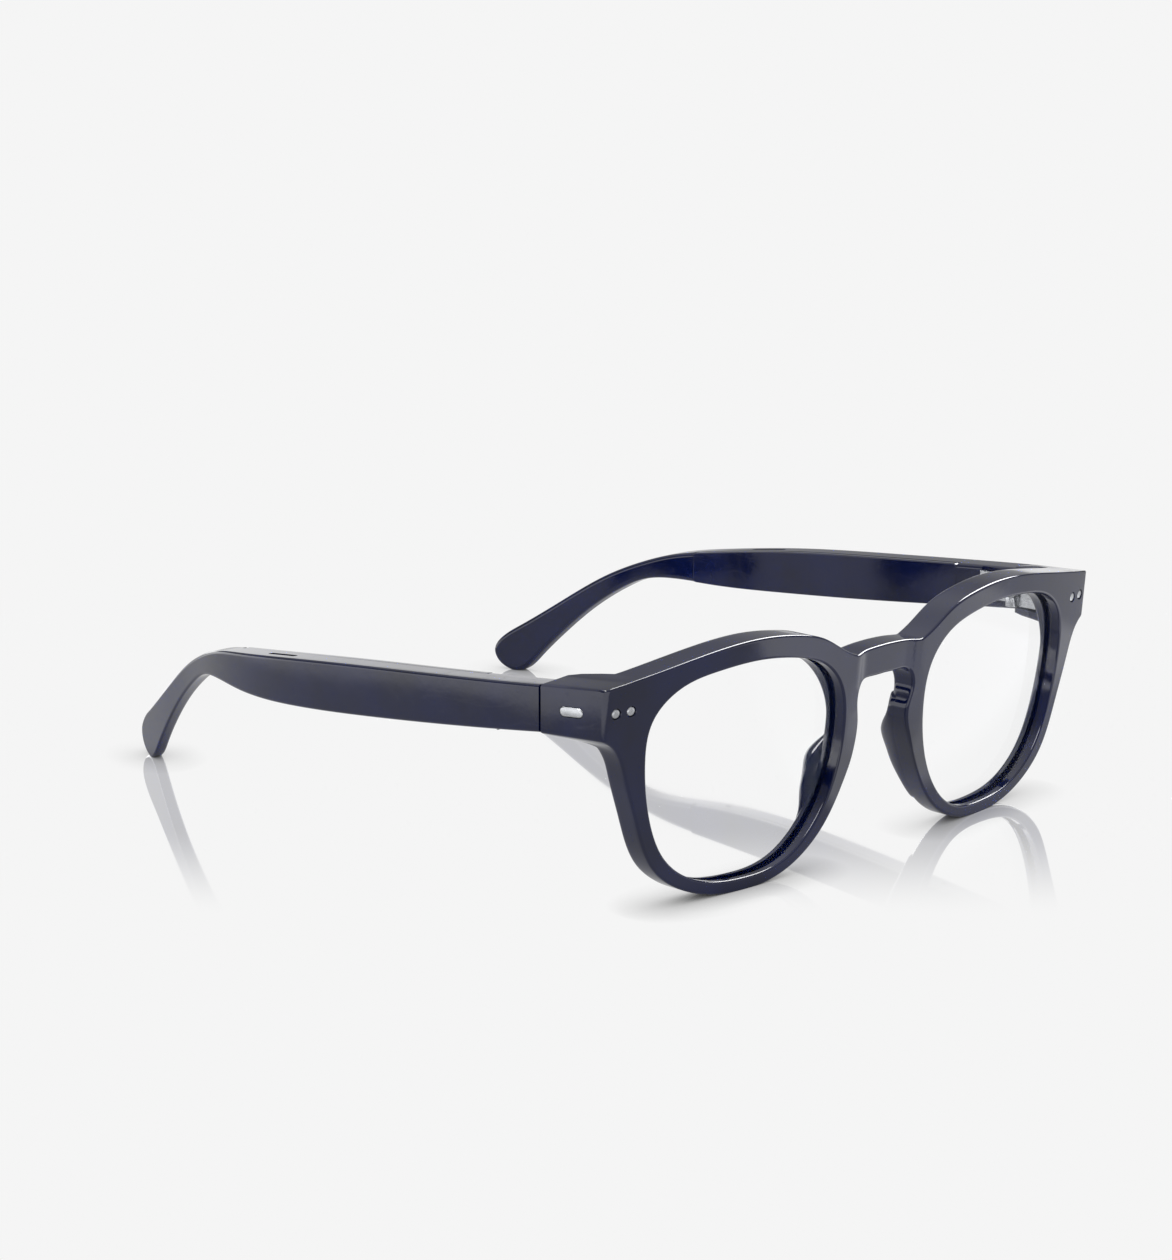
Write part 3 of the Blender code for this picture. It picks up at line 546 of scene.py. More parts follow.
def placed(bm, matrix):
    bmesh.ops.transform(bm, matrix=matrix, verts=bm.verts)
    return bm


def turned(profile, segments=40):
    """A turned piece about Z from (radius, height) points, the first and last on the axis."""
    bm = bmesh.new()
    turns = np.linspace(0.0, 2 * math.pi, segments, endpoint=False)
    rings = []
    for radius, height in profile[1:-1]:
        ring = [(radius * math.cos(a) * MM, radius * math.sin(a) * MM, height * MM) for a in turns]
        rings.append([bm.verts.new(p) for p in ring])
    loft(bm, rings)
    for ring, (_, height) in ((rings[0], profile[0]), (rings[-1], profile[-1])):
        middle = bm.verts.new((0.0, 0.0, height * MM))
        for i in range(segments):
            bm.faces.new((ring[i], ring[(i + 1) % segments], middle))
    return bm


def block(low, high):
    """A box between two corners given in millimetres."""
    bm = bmesh.new()
    bmesh.ops.create_cube(bm, size=1.0)
    size = [(b - a) * MM for a, b in zip(low, high)]
    bmesh.ops.scale(bm, vec=size, verts=bm.verts)
    return placed(bm, at(*[(a + b) / 2 for a, b in zip(low, high)]))


# ---------------------------------------------------------------- materials

def new_material(name, colour, roughness, metallic=0.0):
    material = bpy.data.materials.new(name)
    material.use_nodes = True
    material.diffuse_color = (*colour, 1.0)
    shader = material.node_tree.nodes["Principled BSDF"]
    shader.inputs["Base Color"].default_value = (*colour, 1.0)
    shader.inputs["Roughness"].default_value = roughness
    shader.inputs["Metallic"].default_value = metallic
    return material, material.node_tree, shader


def feed(tree, node, inputs):
    """Links the node's inputs to sockets, or sets them to values; a colour has three numbers."""
    for key, value in inputs.items():
        if isinstance(value, bpy.types.NodeSocket):
            tree.links.new(value, node.inputs[key])
        elif node.inputs[key].type == "RGBA":
            node.inputs[key].default_value = (*value, 1.0)
        else:
            node.inputs[key].default_value = value


def add_node(tree, kind, inputs=(), **settings):
    """A node with its settings, and its inputs linked from sockets or set to values."""
    node = tree.nodes.new(kind)
    for key, value in settings.items():
        setattr(node, key, value)
    feed(tree, node, dict(inputs))
    return node


def stretched(tree, scale):
    """The piece's coordinates in metres, scaled by a different amount along each axis."""
    where = add_node(tree, "ShaderNodeTexCoord")
    return add_node(tree, "ShaderNodeMapping", {"Vector": where.outputs["Object"], "Scale": scale}).outputs[0]


def noise(tree, scale, detail=3.0, vector=None, roughness=0.5):
    vector = vector or stretched(tree, (1.0, 1.0, 1.0))
    made = add_node(tree, "ShaderNodeTexNoise",
                    {"Vector": vector, "Scale": scale, "Detail": detail, "Roughness": roughness})
    return made.outputs[0]


def ranged(tree, value, low, high, start=0.3, end=0.7):
    """A 0..1 value between start and end, spread over low..high."""
    inputs = {"Value": value, "From Min": start, "From Max": end, "To Min": low, "To Max": high}
    return add_node(tree, "ShaderNodeMapRange", inputs).outputs[0]


def blended(tree, factor, first, second):
    """Two colours mixed by a 0..1 value."""
    inputs = {0: factor, 6: first, 7: second}
    return add_node(tree, "ShaderNodeMix", inputs, data_type="RGBA").outputs[2]


def maths(tree, operation, *values):
    return add_node(tree, "ShaderNodeMath", enumerate(values), operation=operation).outputs[0]


def add_bump(tree, shader, height, depth):
    """Bump from a 0..1 height, `depth` millimetres deep."""
    bump = add_node(tree, "ShaderNodeBump", {"Height": height, "Distance": depth * MM, "Strength": 1.0})
    feed(tree, shader, {"Normal": bump.outputs[0]})


def faded(tree, value, start, end, low=0.0, high=1.0):
    """Runs smoothly from low to high while the value runs from start to end."""
    inputs = {"Value": value, "From Min": start, "From Max": end, "To Min": low, "To Max": high}
    return add_node(tree, "ShaderNodeMapRange", inputs, interpolation_type="SMOOTHSTEP").outputs[0]


def vector_maths(tree, operation, *vectors):
    node = add_node(tree, "ShaderNodeVectorMath", enumerate(vectors), operation=operation)
    return node.outputs["Value"]


def product(tree, first, *others):
    for other in others:
        first = maths(tree, "MULTIPLY", first, other)
    return first


def mixed(tree, share, first, second):
    """Two shaders mixed by a 0..1 share of the second."""
    node = add_node(tree, "ShaderNodeMixShader", {0: share, 1: first.outputs[0], 2: second.outputs[0]})
    return node.outputs[0]


def chosen(tree, switch, off, on):
    return add_node(tree, "ShaderNodeMix", {0: switch, 2: off, 3: on}).outputs[0]


def own_surface(name, colour):
    """A material whose surface the caller builds: the material, its tree and its output node."""
    material, tree, shader = new_material(name, colour, 0.5)
    tree.nodes.remove(shader)
    return material, tree, next(n for n in tree.nodes if n.type == "OUTPUT_MATERIAL")


def scaled(colour, gain):
    return tuple(gain * c for c in colour)


def slant(tree):
    """0 where the surface faces the viewer, up to 1 where it is seen edge on."""
    return add_node(tree, "ShaderNodeLayerWeight", {"Blend": 0.5}).outputs["Facing"]


def scratches(tree, scale, vector):
    """Fine hairline marks: the thin band where a stretched noise passes its middle value."""
    field = noise(tree, scale, 1.0, vector)
    away = maths(tree, "ABSOLUTE", maths(tree, "SUBTRACT", field, 0.5))
    return ranged(tree, away, 1.0, 0.0, 0.0, 0.004)


def navy_plastic():
    """Polished moulded navy: a faint cloudiness, hairline polishing marks and a soft orange peel."""
    material, tree, shader = new_material("navy_plastic", NAVY, 0.1)
    cloud = ranged(tree, noise(tree, 90.0, 4.0), 0.0, 1.0)
    marks = maths(tree, "MAXIMUM", scratches(tree, 240.0, stretched(tree, (1.0, 0.12, 1.0))),
                  scratches(tree, 300.0, stretched(tree, (0.15, 1.0, 0.5))))
    smear = ranged(tree, noise(tree, 140.0, 5.0, roughness=0.7), 0.05, 0.11)
    feed(tree, shader, {
        "Base Color": blended(tree, cloud, scaled(NAVY, 0.6), scaled(NAVY, 1.35)),
        "Roughness": maths(tree, "ADD", smear, product(tree, marks, 0.10)),
        "IOR": 1.46,
    })
    peel = noise(tree, 700.0, 2.0)
    add_bump(tree, shader, maths(tree, "SUBTRACT", peel, product(tree, marks, 0.06)), 0.004)
    return material


def clear_lens():
    """Plano lens: clear, with a faint green anti-reflection sheen and a trace of wiping marks."""
    material, tree, output = own_surface("clear_lens", (0.97, 0.985, 1.0))
    wiped = ranged(tree, noise(tree, 60.0, 5.0, stretched(tree, (1.0, 1.0, 0.3)), 0.65), 0.01, 0.06)
    patches = ranged(tree, noise(tree, 12.0, 1.0), 0.0, 1.0)
    coating = blended(tree, patches, (0.75, 0.95, 0.9), (0.9, 0.9, 1.0))
    gloss = add_node(tree, "ShaderNodeBsdfAnisotropic", {"Color": coating, "Roughness": wiped})
    clear = add_node(tree, "ShaderNodeBsdfTransparent", {"Color": WHITE})
    share = product(tree, maths(tree, "POWER", slant(tree), 4.0), 0.3)
    feed(tree, output, {"Surface": mixed(tree, share, clear, gloss)})
    return material


def brushed_metal(name, colour, roughness):
    """Metal with fine parallel brush lines, slightly cloudy in tone."""
    material, tree, shader = new_material(name, colour, roughness, 1.0)
    lines = noise(tree, 6000.0, 2.0, stretched(tree, (1.0, 0.08, 1.0)))
    cloud = ranged(tree, noise(tree, 500.0, 3.0), 0.0, 1.0)
    feed(tree, shader, {
        "Base Color": blended(tree, cloud, scaled(colour, 0.82), colour),
        "Roughness": ranged(tree, lines, roughness - 0.08, roughness + 0.1),
    })
    add_bump(tree, shader, lines, 0.004)
    return material


def moulded(name, colour, roughness, grain_scale, depth):
    """Matt or satin moulding with a fine pebbled grain."""
    material, tree, shader = new_material(name, colour, roughness)
    grain = noise(tree, grain_scale, 3.0, roughness=0.6)
    worn = ranged(tree, noise(tree, 220.0, 4.0), 0.0, 1.0)
    lit = tuple(1.6 * c + 0.004 for c in colour)
    feed(tree, shader, {
        "Base Color": blended(tree, worn, colour, lit),
        "Roughness": ranged(tree, grain, roughness - 0.07, roughness + 0.1),
    })
    add_bump(tree, shader, grain, depth)
    return material


def battery_foil():
    """Aluminium laminate: crinkles and a soft sheen."""
    material, tree, shader = new_material("battery_foil", (0.55, 0.57, 0.60), 0.3, 0.9)
    crinkle = add_node(tree, "ShaderNodeTexVoronoi",
                       {"Vector": stretched(tree, (1.0, 0.4, 1.0)), "Scale": 500.0})
    folds = maths(tree, "ADD", crinkle.outputs[0], noise(tree, 800.0, 4.0))
    feed(tree, shader, {"Roughness": ranged(tree, noise(tree, 300.0), 0.2, 0.42)})
    add_bump(tree, shader, folds, 0.05)
    return material


def circuit_board():
    """Green solder mask with tracks that show through it and rows of tinned pads."""
    material, tree, shader = new_material("circuit_board", (0.02, 0.16, 0.08), 0.45)
    where = stretched(tree, (1.0, 1.0, 1.0))
    tracks = add_node(tree, "ShaderNodeTexBrick", {
        "Vector": where, "Scale": 900.0, "Mortar Size": 0.07, "Color1": BLACK, "Color2": BLACK,
        "Mortar": WHITE})
    pads = add_node(tree, "ShaderNodeTexVoronoi", {"Vector": where, "Scale": 1100.0, "Randomness": 0.2})
    pad = ranged(tree, pads.outputs[0], 1.0, 0.0, 0.16, 0.2)
    base = blended(tree, tracks.outputs[0], (0.012, 0.11, 0.05), (0.05, 0.27, 0.13))
    feed(tree, shader, {"Base Color": blended(tree, pad, base, (0.75, 0.72, 0.62)), "Metallic": pad})
    add_bump(tree, shader, tracks.outputs[0], 0.03)
    return material


def banded(name, metallic, stretch, scale, distortion, dark, pale, depth):
    """Fine parallel ridges, dark between and pale on top: on the coil's windings the dark between them is
    painted shade, on the flex cable it is the film's own colour.
    """
    material, tree, shader = new_material(name, pale, 0.3, metallic)
    ridges = add_node(tree, "ShaderNodeTexWave", {
        "Vector": stretched(tree, stretch), "Scale": scale, "Distortion": distortion}, bands_direction="Z")
    feed(tree, shader, {"Base Color": blended(tree, ridges.outputs[1], dark, pale)})
    add_bump(tree, shader, ridges.outputs[1], depth)
    return material, tree, shader


def coil_copper():
    """Enamelled copper: fine parallel windings, with painted shade in the grooves between them."""
    # the darker colour is painted shade between the windings, the paler one is the copper itself
    material, *_ = banded("coil_copper", 1.0, (0.2, 0.2, 1.0), 900.0, 0.4,
                          (0.34, 0.13, 0.05), (0.85, 0.45, 0.25), 0.04)
    return material


def flex_cable():
    """Amber film with copper tracks along its length."""
    material, tree, shader = banded("flex_cable", 0.0, (0.0, 0.05, 1.0), 1200.0, 0.6,
                                    (0.30, 0.12, 0.02), (0.62, 0.32, 0.08), 0.02)
    feed(tree, shader, {"Roughness": ranged(tree, noise(tree, 300.0), 0.25, 0.45)})
    return material


# ---------------------------------------------------------------- front

def line_step(u, v):
    """Spacing along the front's outline: finer where the end piece turns and steps back."""
    if u > 60.0 and 30.0 < v < 33.0:
        return 0.2
    return 0.3 if u > 65.5 else LINE_STEP


def front_outline():
    """The front's outline, right round, from the middle of the bridge's top."""
    bridge = spline(BRIDGE_TOP, 0.1)
    brow = spline(BROW_KNOTS, 0.1)
    rim = spline(RIM_KNOTS, 0.1)
    side = np.linspace(brow[-1], rim[0], 40)
    top = fillet(bridge, brow, 0.8)
    half = fillet(fillet(top, side, CORNER_ARC, 8), rim, CORNER_ARC, 8)
    half = thinned(half, line_step)
    back = half[1:-1][::-1] * np.array([-1.0, 1.0])
    return np.vstack([half, back])


def in_block(u, v):
    """Share, 0 to 1, of the end piece's block at a point of the front."""
    return smooth(np.abs(u), BLOCK_IN - BLOCK_FILLET, BLOCK_IN) * smooth(v, *BLOCK_FOOT)


def front_y(flat):
    """The front's face, with its rounded outer corners and its recess at the bridge."""
    u, v = flat[:, 0], flat[:, 1]
    past = np.clip(np.abs(u) - (CORNER_X - CORNER_RADIUS), 0.0, CORNER_RADIUS)
    rounding = CORNER_RADIUS - np.sqrt(CORNER_RADIUS ** 2 - past ** 2)
    recess = BRIDGE_RECESS * (1 - smooth(np.abs(u), *BRIDGE_HALF))
    return face_y(u, v) + rounding + recess


def back_y(flat):
    u, v = flat[:, 0], flat[:, 1]
    back = face_y(u, v) + RIM_DEPTH + (BROW_DEPTH - RIM_DEPTH) * smooth(v, *BROW_RISE)
    return back + (SEAM_Y - back) * in_block(u, v)


def front_points(flat, y):
    """True places of points of the flat front at depths y, with the end pieces' flare and drop."""
    u, v = flat[:, 0], flat[:, 1]
    surface = face_y(u, v)
    run = np.maximum(y - surface, 0.0) * in_block(u, v)
    flare = BLOCK_FLARE * run / (SEAM_Y - surface) * smooth(np.abs(u), BLOCK_IN, CORNER_X)
    drop = run * (BLOCK_SLOPE + BLOCK_TAPER * (v - BLOCK_LOW))
    return np.stack([u + np.sign(u) * flare, y, np.maximum(v - drop, 0.0)], axis=1)


def front_rings(bm, outline, front_edge, back_edge, outward, middle):
    """Rings from the face round the edge, down the wall and round the back edge. `outward` is -1 for
    the outline and 1 for an opening; middle(flat) gives the wall's own (inset, y) rings."""
    rings = []
    flats = []

    def add(flat, y):
        rings.append(new_ring(bm, front_points(flat, y)))
        flats.append(flat)

    flat = moved(outline, outward * (front_edge + FACE_BORDER))
    add(flat, front_y(flat))
    for inset, sink in edge_arc():
        flat = moved(outline, outward * inset * front_edge)
        add(flat, front_y(flat) + sink * front_edge)
    for inset, y in middle:
        add(moved(outline, outward * inset), y)
    for inset, sink in reversed(edge_arc()):
        flat = moved(outline, outward * inset * back_edge)
        add(flat, back_y(flat) - sink * back_edge)
    flat = moved(outline, outward * (back_edge + FACE_BORDER))
    add(flat, back_y(flat))
    loft(bm, rings)
    return (rings[0], flats[0]), (rings[-1], flats[-1])


def outline_rings(bm):
    outline = front_outline()
    u, v = outline[:, 0], outline[:, 1]
    front_edge = FRONT_EDGE + (SEAM_EDGE - FRONT_EDGE) * smooth(np.abs(u), CORNER_X - 0.5, CORNER_X)
    share = in_block(u, v)
    back_edge = BACK_EDGE + (SEAM_EDGE - BACK_EDGE) * share
    first = front_y(outline) + front_edge
    last = back_y(outline) - back_edge
    middle = [(0.0, first + (last - first) * t) for t in (0.15, 0.3, 0.5, 0.7, 0.85)]
    return front_rings(bm, outline, front_edge, back_edge, -1, middle)


def lens_y(flat):
    """Depth of the lens's middle surface."""
    dome = ((np.abs(flat[:, 0]) - LENS_CENTRE[0]) ** 2 + (flat[:, 1] - LENS_CENTRE[1]) ** 2) / (2 * LENS_DOME)
    return face_y(flat[:, 0], flat[:, 1]) + LENS_SEAT + dome


def opening_rings(bm, side):
    opening = spline(LENS_KNOTS, LINE_STEP, closed=True) * np.array([side, 1.0])
    seat = lens_y(opening)
    half = LENS_THICK / 2 + LENS_PLAY
    middle = [(0.0, seat - half), (GROOVE_DEPTH, seat - half), (GROOVE_DEPTH, seat + half),
              (0.0, seat + half)]
    n = len(opening)
    return front_rings(bm, opening, np.full(n, FRONT_EDGE), np.full(n, BACK_EDGE), 1, middle)


FRONT_GRID = grid(-68.0, 68.0, 0.0, 46.0, FACE_STEP, 1.3)


def surface_turn(x, z):
    """Rotation that points +Z out of the front's surface."""
    slope = Vector((2 * FRONT_WRAP * x, -1.0, -FRONT_LEAN))
    return slope.to_track_quat("Z", "Y").to_matrix()


def rivet_hole(bm, x, z):
    """A blind hole with a broken edge for a rivet; returns its rim for the face's cap."""
    turn = surface_turn(x, z)
    rings = []
    for radius, depth in ((RIVET_R + 0.16, 0.0), (RIVET_R + 0.05, 0.09), (RIVET_R + 0.05, 1.4)):
        ring = []
        for u, v in circle(0.0, 0.0, radius, 32):
            ring.append(Vector((x, face_y(x, z), z)) + turn @ Vector((u, v, -depth)))
        rings.append(ring)
    flat = np.array([(p.x, p.z) for p in rings[0]])
    verts = [new_ring(bm, ring) for ring in rings]
    loft(bm, verts)
    bm.faces.new(verts[-1])
    return verts[0], flat


def side_turn():
    """Rotation that lays a plate on the left end piece's side: u along +Y, w outwards."""
    slope = BLOCK_FLARE / (SEAM_Y - face_y(CORNER_X, LEAN_Z))
    along = Vector((slope, 1.0, -0.06)).normalized()
    out = Vector((1.0, -slope, 0.0)).normalized()
    return Matrix((along, out.cross(along), out)).transposed()


def inlay_skin():
    """The point of the left end piece's side where the inlay sits."""
    y, z = INLAY_AT
    surface = face_y(CORNER_X, z)
    return Vector((CORNER_X + BLOCK_FLARE * (y - surface) / (SEAM_Y - surface), y, z))


def face_points():
    """The face's own points: dense round the corners, closer than elsewhere at the bridge."""
    outline = front_outline()
    rows = outline[outline[:, 0] > CORNER_X - 0.05][:, 1]
    turns = np.radians((12, 24, 36, 48, 60, 70, 79, 85))
    corner = [(s * (CORNER_X - CORNER_RADIUS * (1 - math.sin(a))), v)
              for s in (1, -1) for a in turns for v in rows]
    _, half = BRIDGE_HALF
    bridge = grid(-half - 0.2, half + 0.2, 33.0, 40.0, 0.7, 0.7)
    general = [p for p in FRONT_GRID if half + 0.2 < abs(p[0]) < 66.0]
    return [(bridge, 0.4), (general, 0.6), (corner, 0.06)]


def back_points():
    """The back's own points: dense on the ramp and the ledge that lead to the end pieces' blocks."""
    ramp, ledge = ([(s * u, v) for s in (1, -1) for u in np.arange(*across) for v in np.arange(*up)]
                   for across, up in (((BLOCK_IN - BLOCK_FILLET, BLOCK_IN + 0.2, 0.12), (30.4, 41.6, 0.5)),
                                      ((63.4, 67.6, 0.5), (30.4, 32.6, 0.15))))
    general = [p for p in FRONT_GRID if abs(p[0]) < 60.5 or p[1] > 33.0 and abs(p[0]) > 63.5]
    return [(ramp, 0.12), (ledge, 0.1), (general, 0.6)]


def inlay_pockets():
    length, height, thick = INLAY_SIZE
    out = side_turn() @ Vector((0.0, 0.0, 1.0))
    seat = inlay_skin() + out * (INLAY_POCKET_TOP - thick)
    rim = moved(stadium(length, height), RUN_GAP + 0.01)
    pocket = solid(placed(plate([rim], 2 * thick), at(*seat, side_turn())), "inlay_pocket")
    return pocket, mirrored(pocket, "inlay_pocket_right")


def build_front():
    bm = bmesh.new()
    pairs = (outline_rings(bm), opening_rings(bm, 1.0), opening_rings(bm, -1.0))
    face_loops = [face for face, _ in pairs]
    face_loops += [rivet_hole(bm, side * x, z) for side in (1, -1) for x, z in RIVETS.values()]
    cap(bm, face_loops, face_points(), lambda flat: front_points(flat, front_y(flat)))
    cap(bm, [back for _, back in pairs], back_points(), lambda flat: front_points(flat, back_y(flat)))
    front = solid(bm, "front_frame_fine")
    low, high = KNUCKLE_SPLITS[0] - SEAM_GAP, KNUCKLE_SPLITS[-1] + SEAM_GAP
    rooms = []
    for side in (1, -1):
        near, far = sorted((side * (PIN_X - 4), side * (PIN_X + KNUCKLE_R + SEAM_GAP)))
        rooms.append(solid(block((near, FRONT_ARM_END - SEAM_GAP, low), (far, PIN_Y + 1, high)),
                           f"hinge_room_{side}"))
    carve(front, *rooms, *inlay_pockets())
    piece(front, "front", PLASTIC, "front_frame")


def build_lenses():
    """A domed disc in each groove, thinner at the very rim, where it enters the groove."""
    bm = bmesh.new()
    outline = moved(spline(LENS_KNOTS, LINE_STEP, closed=True), LENS_LIP)
    half = LENS_THICK / 2
    rings = []
    flats = []

    def put(flat, offset):
        return np.stack([flat[:, 0], lens_y(flat) + offset, flat[:, 1]], axis=1)

    for inset, offset in ((0.25, -half), (0.0, -half + 0.2), (0.0, half - 0.2), (0.25, half)):
        flats.append(moved(outline, -inset))
        rings.append(new_ring(bm, put(flats[-1], offset)))
    loft(bm, rings)
    spread = [(grid(9.0, 61.0, 0.0, 44.0, 2.0, 1.8), 0.8)]
    for index, offset in ((0, -half), (-1, half)):
        cap(bm, [(rings[index], flats[index])], spread, lambda flat: put(flat, offset))
    both_sides(solid(bm, "lens_fine_left"), "lens", FRONT, GLASS)


def build_rivets():
    """Turned rivets with a broken edge and a very slightly domed head."""
    profile = [(0.0, 0.06), (0.35, 0.05), (0.62, 0.02), (0.74, -0.02), (0.82, -0.09), (RIVET_R - 0.02, -0.2),
               (RIVET_R, -0.3), (RIVET_R, -1.2), (0.0, -1.2)]
    for where, (x, z) in RIVETS.items():
        turn = surface_turn(x, z)
        out = turn @ Vector((0.0, 0.0, 1.0))
        seat = Vector((x, face_y(x, z), z)) - out * RIVET_SINK
        left = solid(placed(turned(profile), at(*seat, turn)), f"rivet_fine_left_{where}")
        right = mirrored(left, f"rivet_fine_right_{where}")
        piece(left, "front", STEEL, f"rivet_left_{where}")
        piece(right, "front", STEEL, f"rivet_right_{where}")


def build_inlays():
    length, height, thick = INLAY_SIZE
    out = side_turn() @ Vector((0.0, 0.0, 1.0))
    seat = inlay_skin() + out * (INLAY_PROUD - thick / 2)
    bm = placed(plate([stadium(length, height, 16)], thick, 0.22, 3), at(*seat, side_turn()))
    both_sides(solid(bm, "side_inlay_fine_left"), "side_inlay", FRONT, STEEL)


def build_nose_pads():
    """Saddle pads that carry on the nasal walls of the rims: sections at each height, joined and
    smoothed. Each starts inside the rim, level with its wall."""
    rim = spline(RIM_KNOTS, 0.3)
    nasal = rim[(rim[:, 0] < 30.0) & (rim[:, 1] < 30.5)]
    bm = bmesh.new()
    rings = []
    for z, reach in spline(NOSE_PAD_STATIONS, 0.9):
        x = float(np.interp(z, nasal[:, 1], nasal[:, 0])) - 0.02
        back = float(back_y(np.array([[x, z]]))[0])
        root = back - BACK_EDGE - 0.6
        flare = NOSE_PAD_FLARE * reach
        width = NOSE_PAD_WIDTH * (0.75 + 0.25 * min(reach / 4.0, 1.0))
        wall = np.linspace((x, root), (x, back - 0.2), 4)
        crest = x + flare
        hump = spline(((x, back - 0.2), (x + 0.3 * flare, back + 0.55 * reach), (crest, back + reach),
                       (crest + 0.55 * width, back + 0.93 * reach), (crest + width, back + 0.45 * reach),
                       (x + width, back - 0.9)), 0.6)
        outline = np.vstack([wall[:-1], hump, [(x + width, root)]])
        run = np.concatenate([[0.0], np.cumsum(np.hypot(*np.diff(outline, axis=0).T))])
        even = np.linspace(0.0, run[-1], 22)
        section = [(np.interp(t, run, outline[:, 0]), np.interp(t, run, outline[:, 1]), z) for t in even]
        rings.append(new_ring(bm, section))
    loft(bm, rings)
    bm.faces.new(rings[0])
    bm.faces.new(rings[-1])
    left = solid(bm, "nose_pad_fine_left")
    rounder = left.modifiers.new("rounder", "SUBSURF")
    rounder.levels = 1
    rounder.render_levels = 1
    evaluated(left)
    both_sides(left, "nose_pad", FRONT, PLASTIC)


# ---------------------------------------------------------------- temples

def temple_plate(outline, outer, inner, outer_edge, inner_edge, spread_step=2.0):
    """A plate in the temple's side profile, bent to its plan, with rounded edges. outer(y) and
    inner(y) are the depths of its two faces below the temple's outer face."""
    bm = bmesh.new()

    def put(flat, depth):
        y = flat[:, 0]
        return np.stack([plan_x(y) - depth, y, np.maximum(flat[:, 1], 0.0)], axis=1)

    rings = []
    flats = []

    def add(inset, depth, sink=0.0):
        flat = moved(outline, -inset)
        flats.append(flat)
        rings.append(new_ring(bm, put(flat, depth(flat[:, 0]) + sink)))

    add(outer_edge + FACE_BORDER, outer)
    for inset, sink in edge_arc():
        add(inset * outer_edge, outer, sink * outer_edge)
    for share in (0.33, 0.67):
        add(0.0, lambda y: outer(y) + outer_edge + (inner(y) - inner_edge - outer(y) - outer_edge) * share)
    for inset, sink in reversed(edge_arc()):
        add(inset * inner_edge, inner, -sink * inner_edge)
    add(inner_edge + FACE_BORDER, inner)
    loft(bm, rings)
    low, high = outline.min(axis=0), outline.max(axis=0)
    spread = [(grid(low[0], high[0], low[1], high[1], spread_step, 1.5), 0.6)]
    cap(bm, [(rings[0], flats[0])], spread, lambda flat: put(flat, outer(flat[:, 0])))
    cap(bm, [(rings[-1], flats[-1])], spread, lambda flat: put(flat, inner(flat[:, 0])))
    return bm


def temple_outline():
    """The temple's side profile, carried forward past the seam, where it is then cut off square."""
    line = spline(TEMPLE_TOP + TEMPLE_TIP + TEMPLE_BOTTOM, 0.1)
    line = thinned(line, lambda y, z: LINE_STEP if y < 138.0 else 0.4)
    top, bottom = line[0], line[-1]
    ahead = 2.0
    first = top + (top - line[1]) / (line[1][0] - top[0]) * ahead
    last = bottom + (bottom - line[-2]) / (line[-2][0] - bottom[0]) * ahead
    return np.vstack([[first], line, [last]])


def band(start, end, margin, step=1.0):
    """Outline of the temple's side between two places, `margin` inside its top and bottom."""
    places = np.linspace(start, end, max(2, round((end - start) / step)))
    upper = [(y, top_z(y) - margin) for y in places]
    lower = [(y, bottom_z(y) + margin) for y in places[::-1]]
    return np.array(upper + lower)


def rounded_band(start, end, margin, radius):
    """The same with its four corners rounded."""
    line = band(start, end, margin, 0.5)
    half = len(line) // 2
    upper, lower = line[:half], line[half:]
    rear = np.linspace(upper[-1], lower[0], 24)
    front = np.linspace(lower[-1], upper[0], 24)
    whole = fillet(fillet(fillet(upper, rear, radius), lower, radius), front, radius)
    middle = half // 2
    return fillet(whole[middle:], whole[:middle], radius)


def cover_face(y):
    """Depth of the cover's hidden face."""
    return temple_thickness(y) - COVER_THICK


def constant(depth):
    return lambda y: np.full(len(y), depth)


def lying_turn(y, edge_z, up):
    """Rotation of a piece on the left temple's top or bottom: u runs back, w points `up`."""
    along = Vector((plan_x(y + 2) - plan_x(y - 2), 4.0, edge_z(y + 2) - edge_z(y - 2))).normalized()
    across = Vector((0.0, 0.0, up)).cross(along).normalized()
    return Matrix((along, across, along.cross(across))).transposed()


def on_edge(y, depth_in, edge_z, up):
    """For a piece on the left temple's top or bottom: the point of the skin, outwards, and its turn."""
    turn = lying_turn(y, edge_z, up)
    return Vector((plan_x(y) - depth_in, y, edge_z(y))), turn @ Vector((0.0, 0.0, 1.0)), turn


def leaf_outline(arm_end, lean, growth=0.0):
    """A hinge leaf seen from above: a round knuckle and an arm that runs to y = arm_end."""
    side = math.copysign(1.0, arm_end - PIN_Y)
    r = KNUCKLE_R + growth
    inner = KNUCKLE_R - LEAF_THICK - growth
    sweep = 2 * math.pi - math.acos(inner / r)
    end = arm_end + side * growth
    points = [(PIN_X + r + lean, end)]
    for angle in np.linspace(0.0, -side * sweep, 41):
        points.append((PIN_X + r * math.cos(angle), PIN_Y + r * math.sin(angle)))
    points.append((PIN_X + inner + lean, end))
    return np.array(points)


def hollow_cutters():
    """The step that the cover lies in and the hollow behind it."""
    step = temple_plate(band(COVER_START - COVER_GAP, COVER_END + COVER_GAP, -CUTTER_PROUD, 2.0),
                        lambda y: cover_face(y) - COVER_GAP, lambda y: temple_thickness(y) + CUTTER_PROUD,
                        0.0, 0.0)
    hollow = temple_plate(band(HOLLOW_START, HOLLOW_END, HOLLOW_MARGIN, 4.0),
                          constant(SHELL_WALL), cover_face, 0.0, 0.0)
    return step, hollow


def port_cutters():
    """Microphone ports, each with a flared mouth in the temple's underside."""
    profile = [(0.0, 3.4), (0.4, 3.4), (0.4, 0.35), (0.62, 0.0), (0.62, -1.0), (0.0, -1.0)]
    return [placed(turned(profile, 24), at(plan_x(y) - PORT_DEPTH_IN, y, bottom_z(y) + 0.12))
            for y in PORT_PLACES]


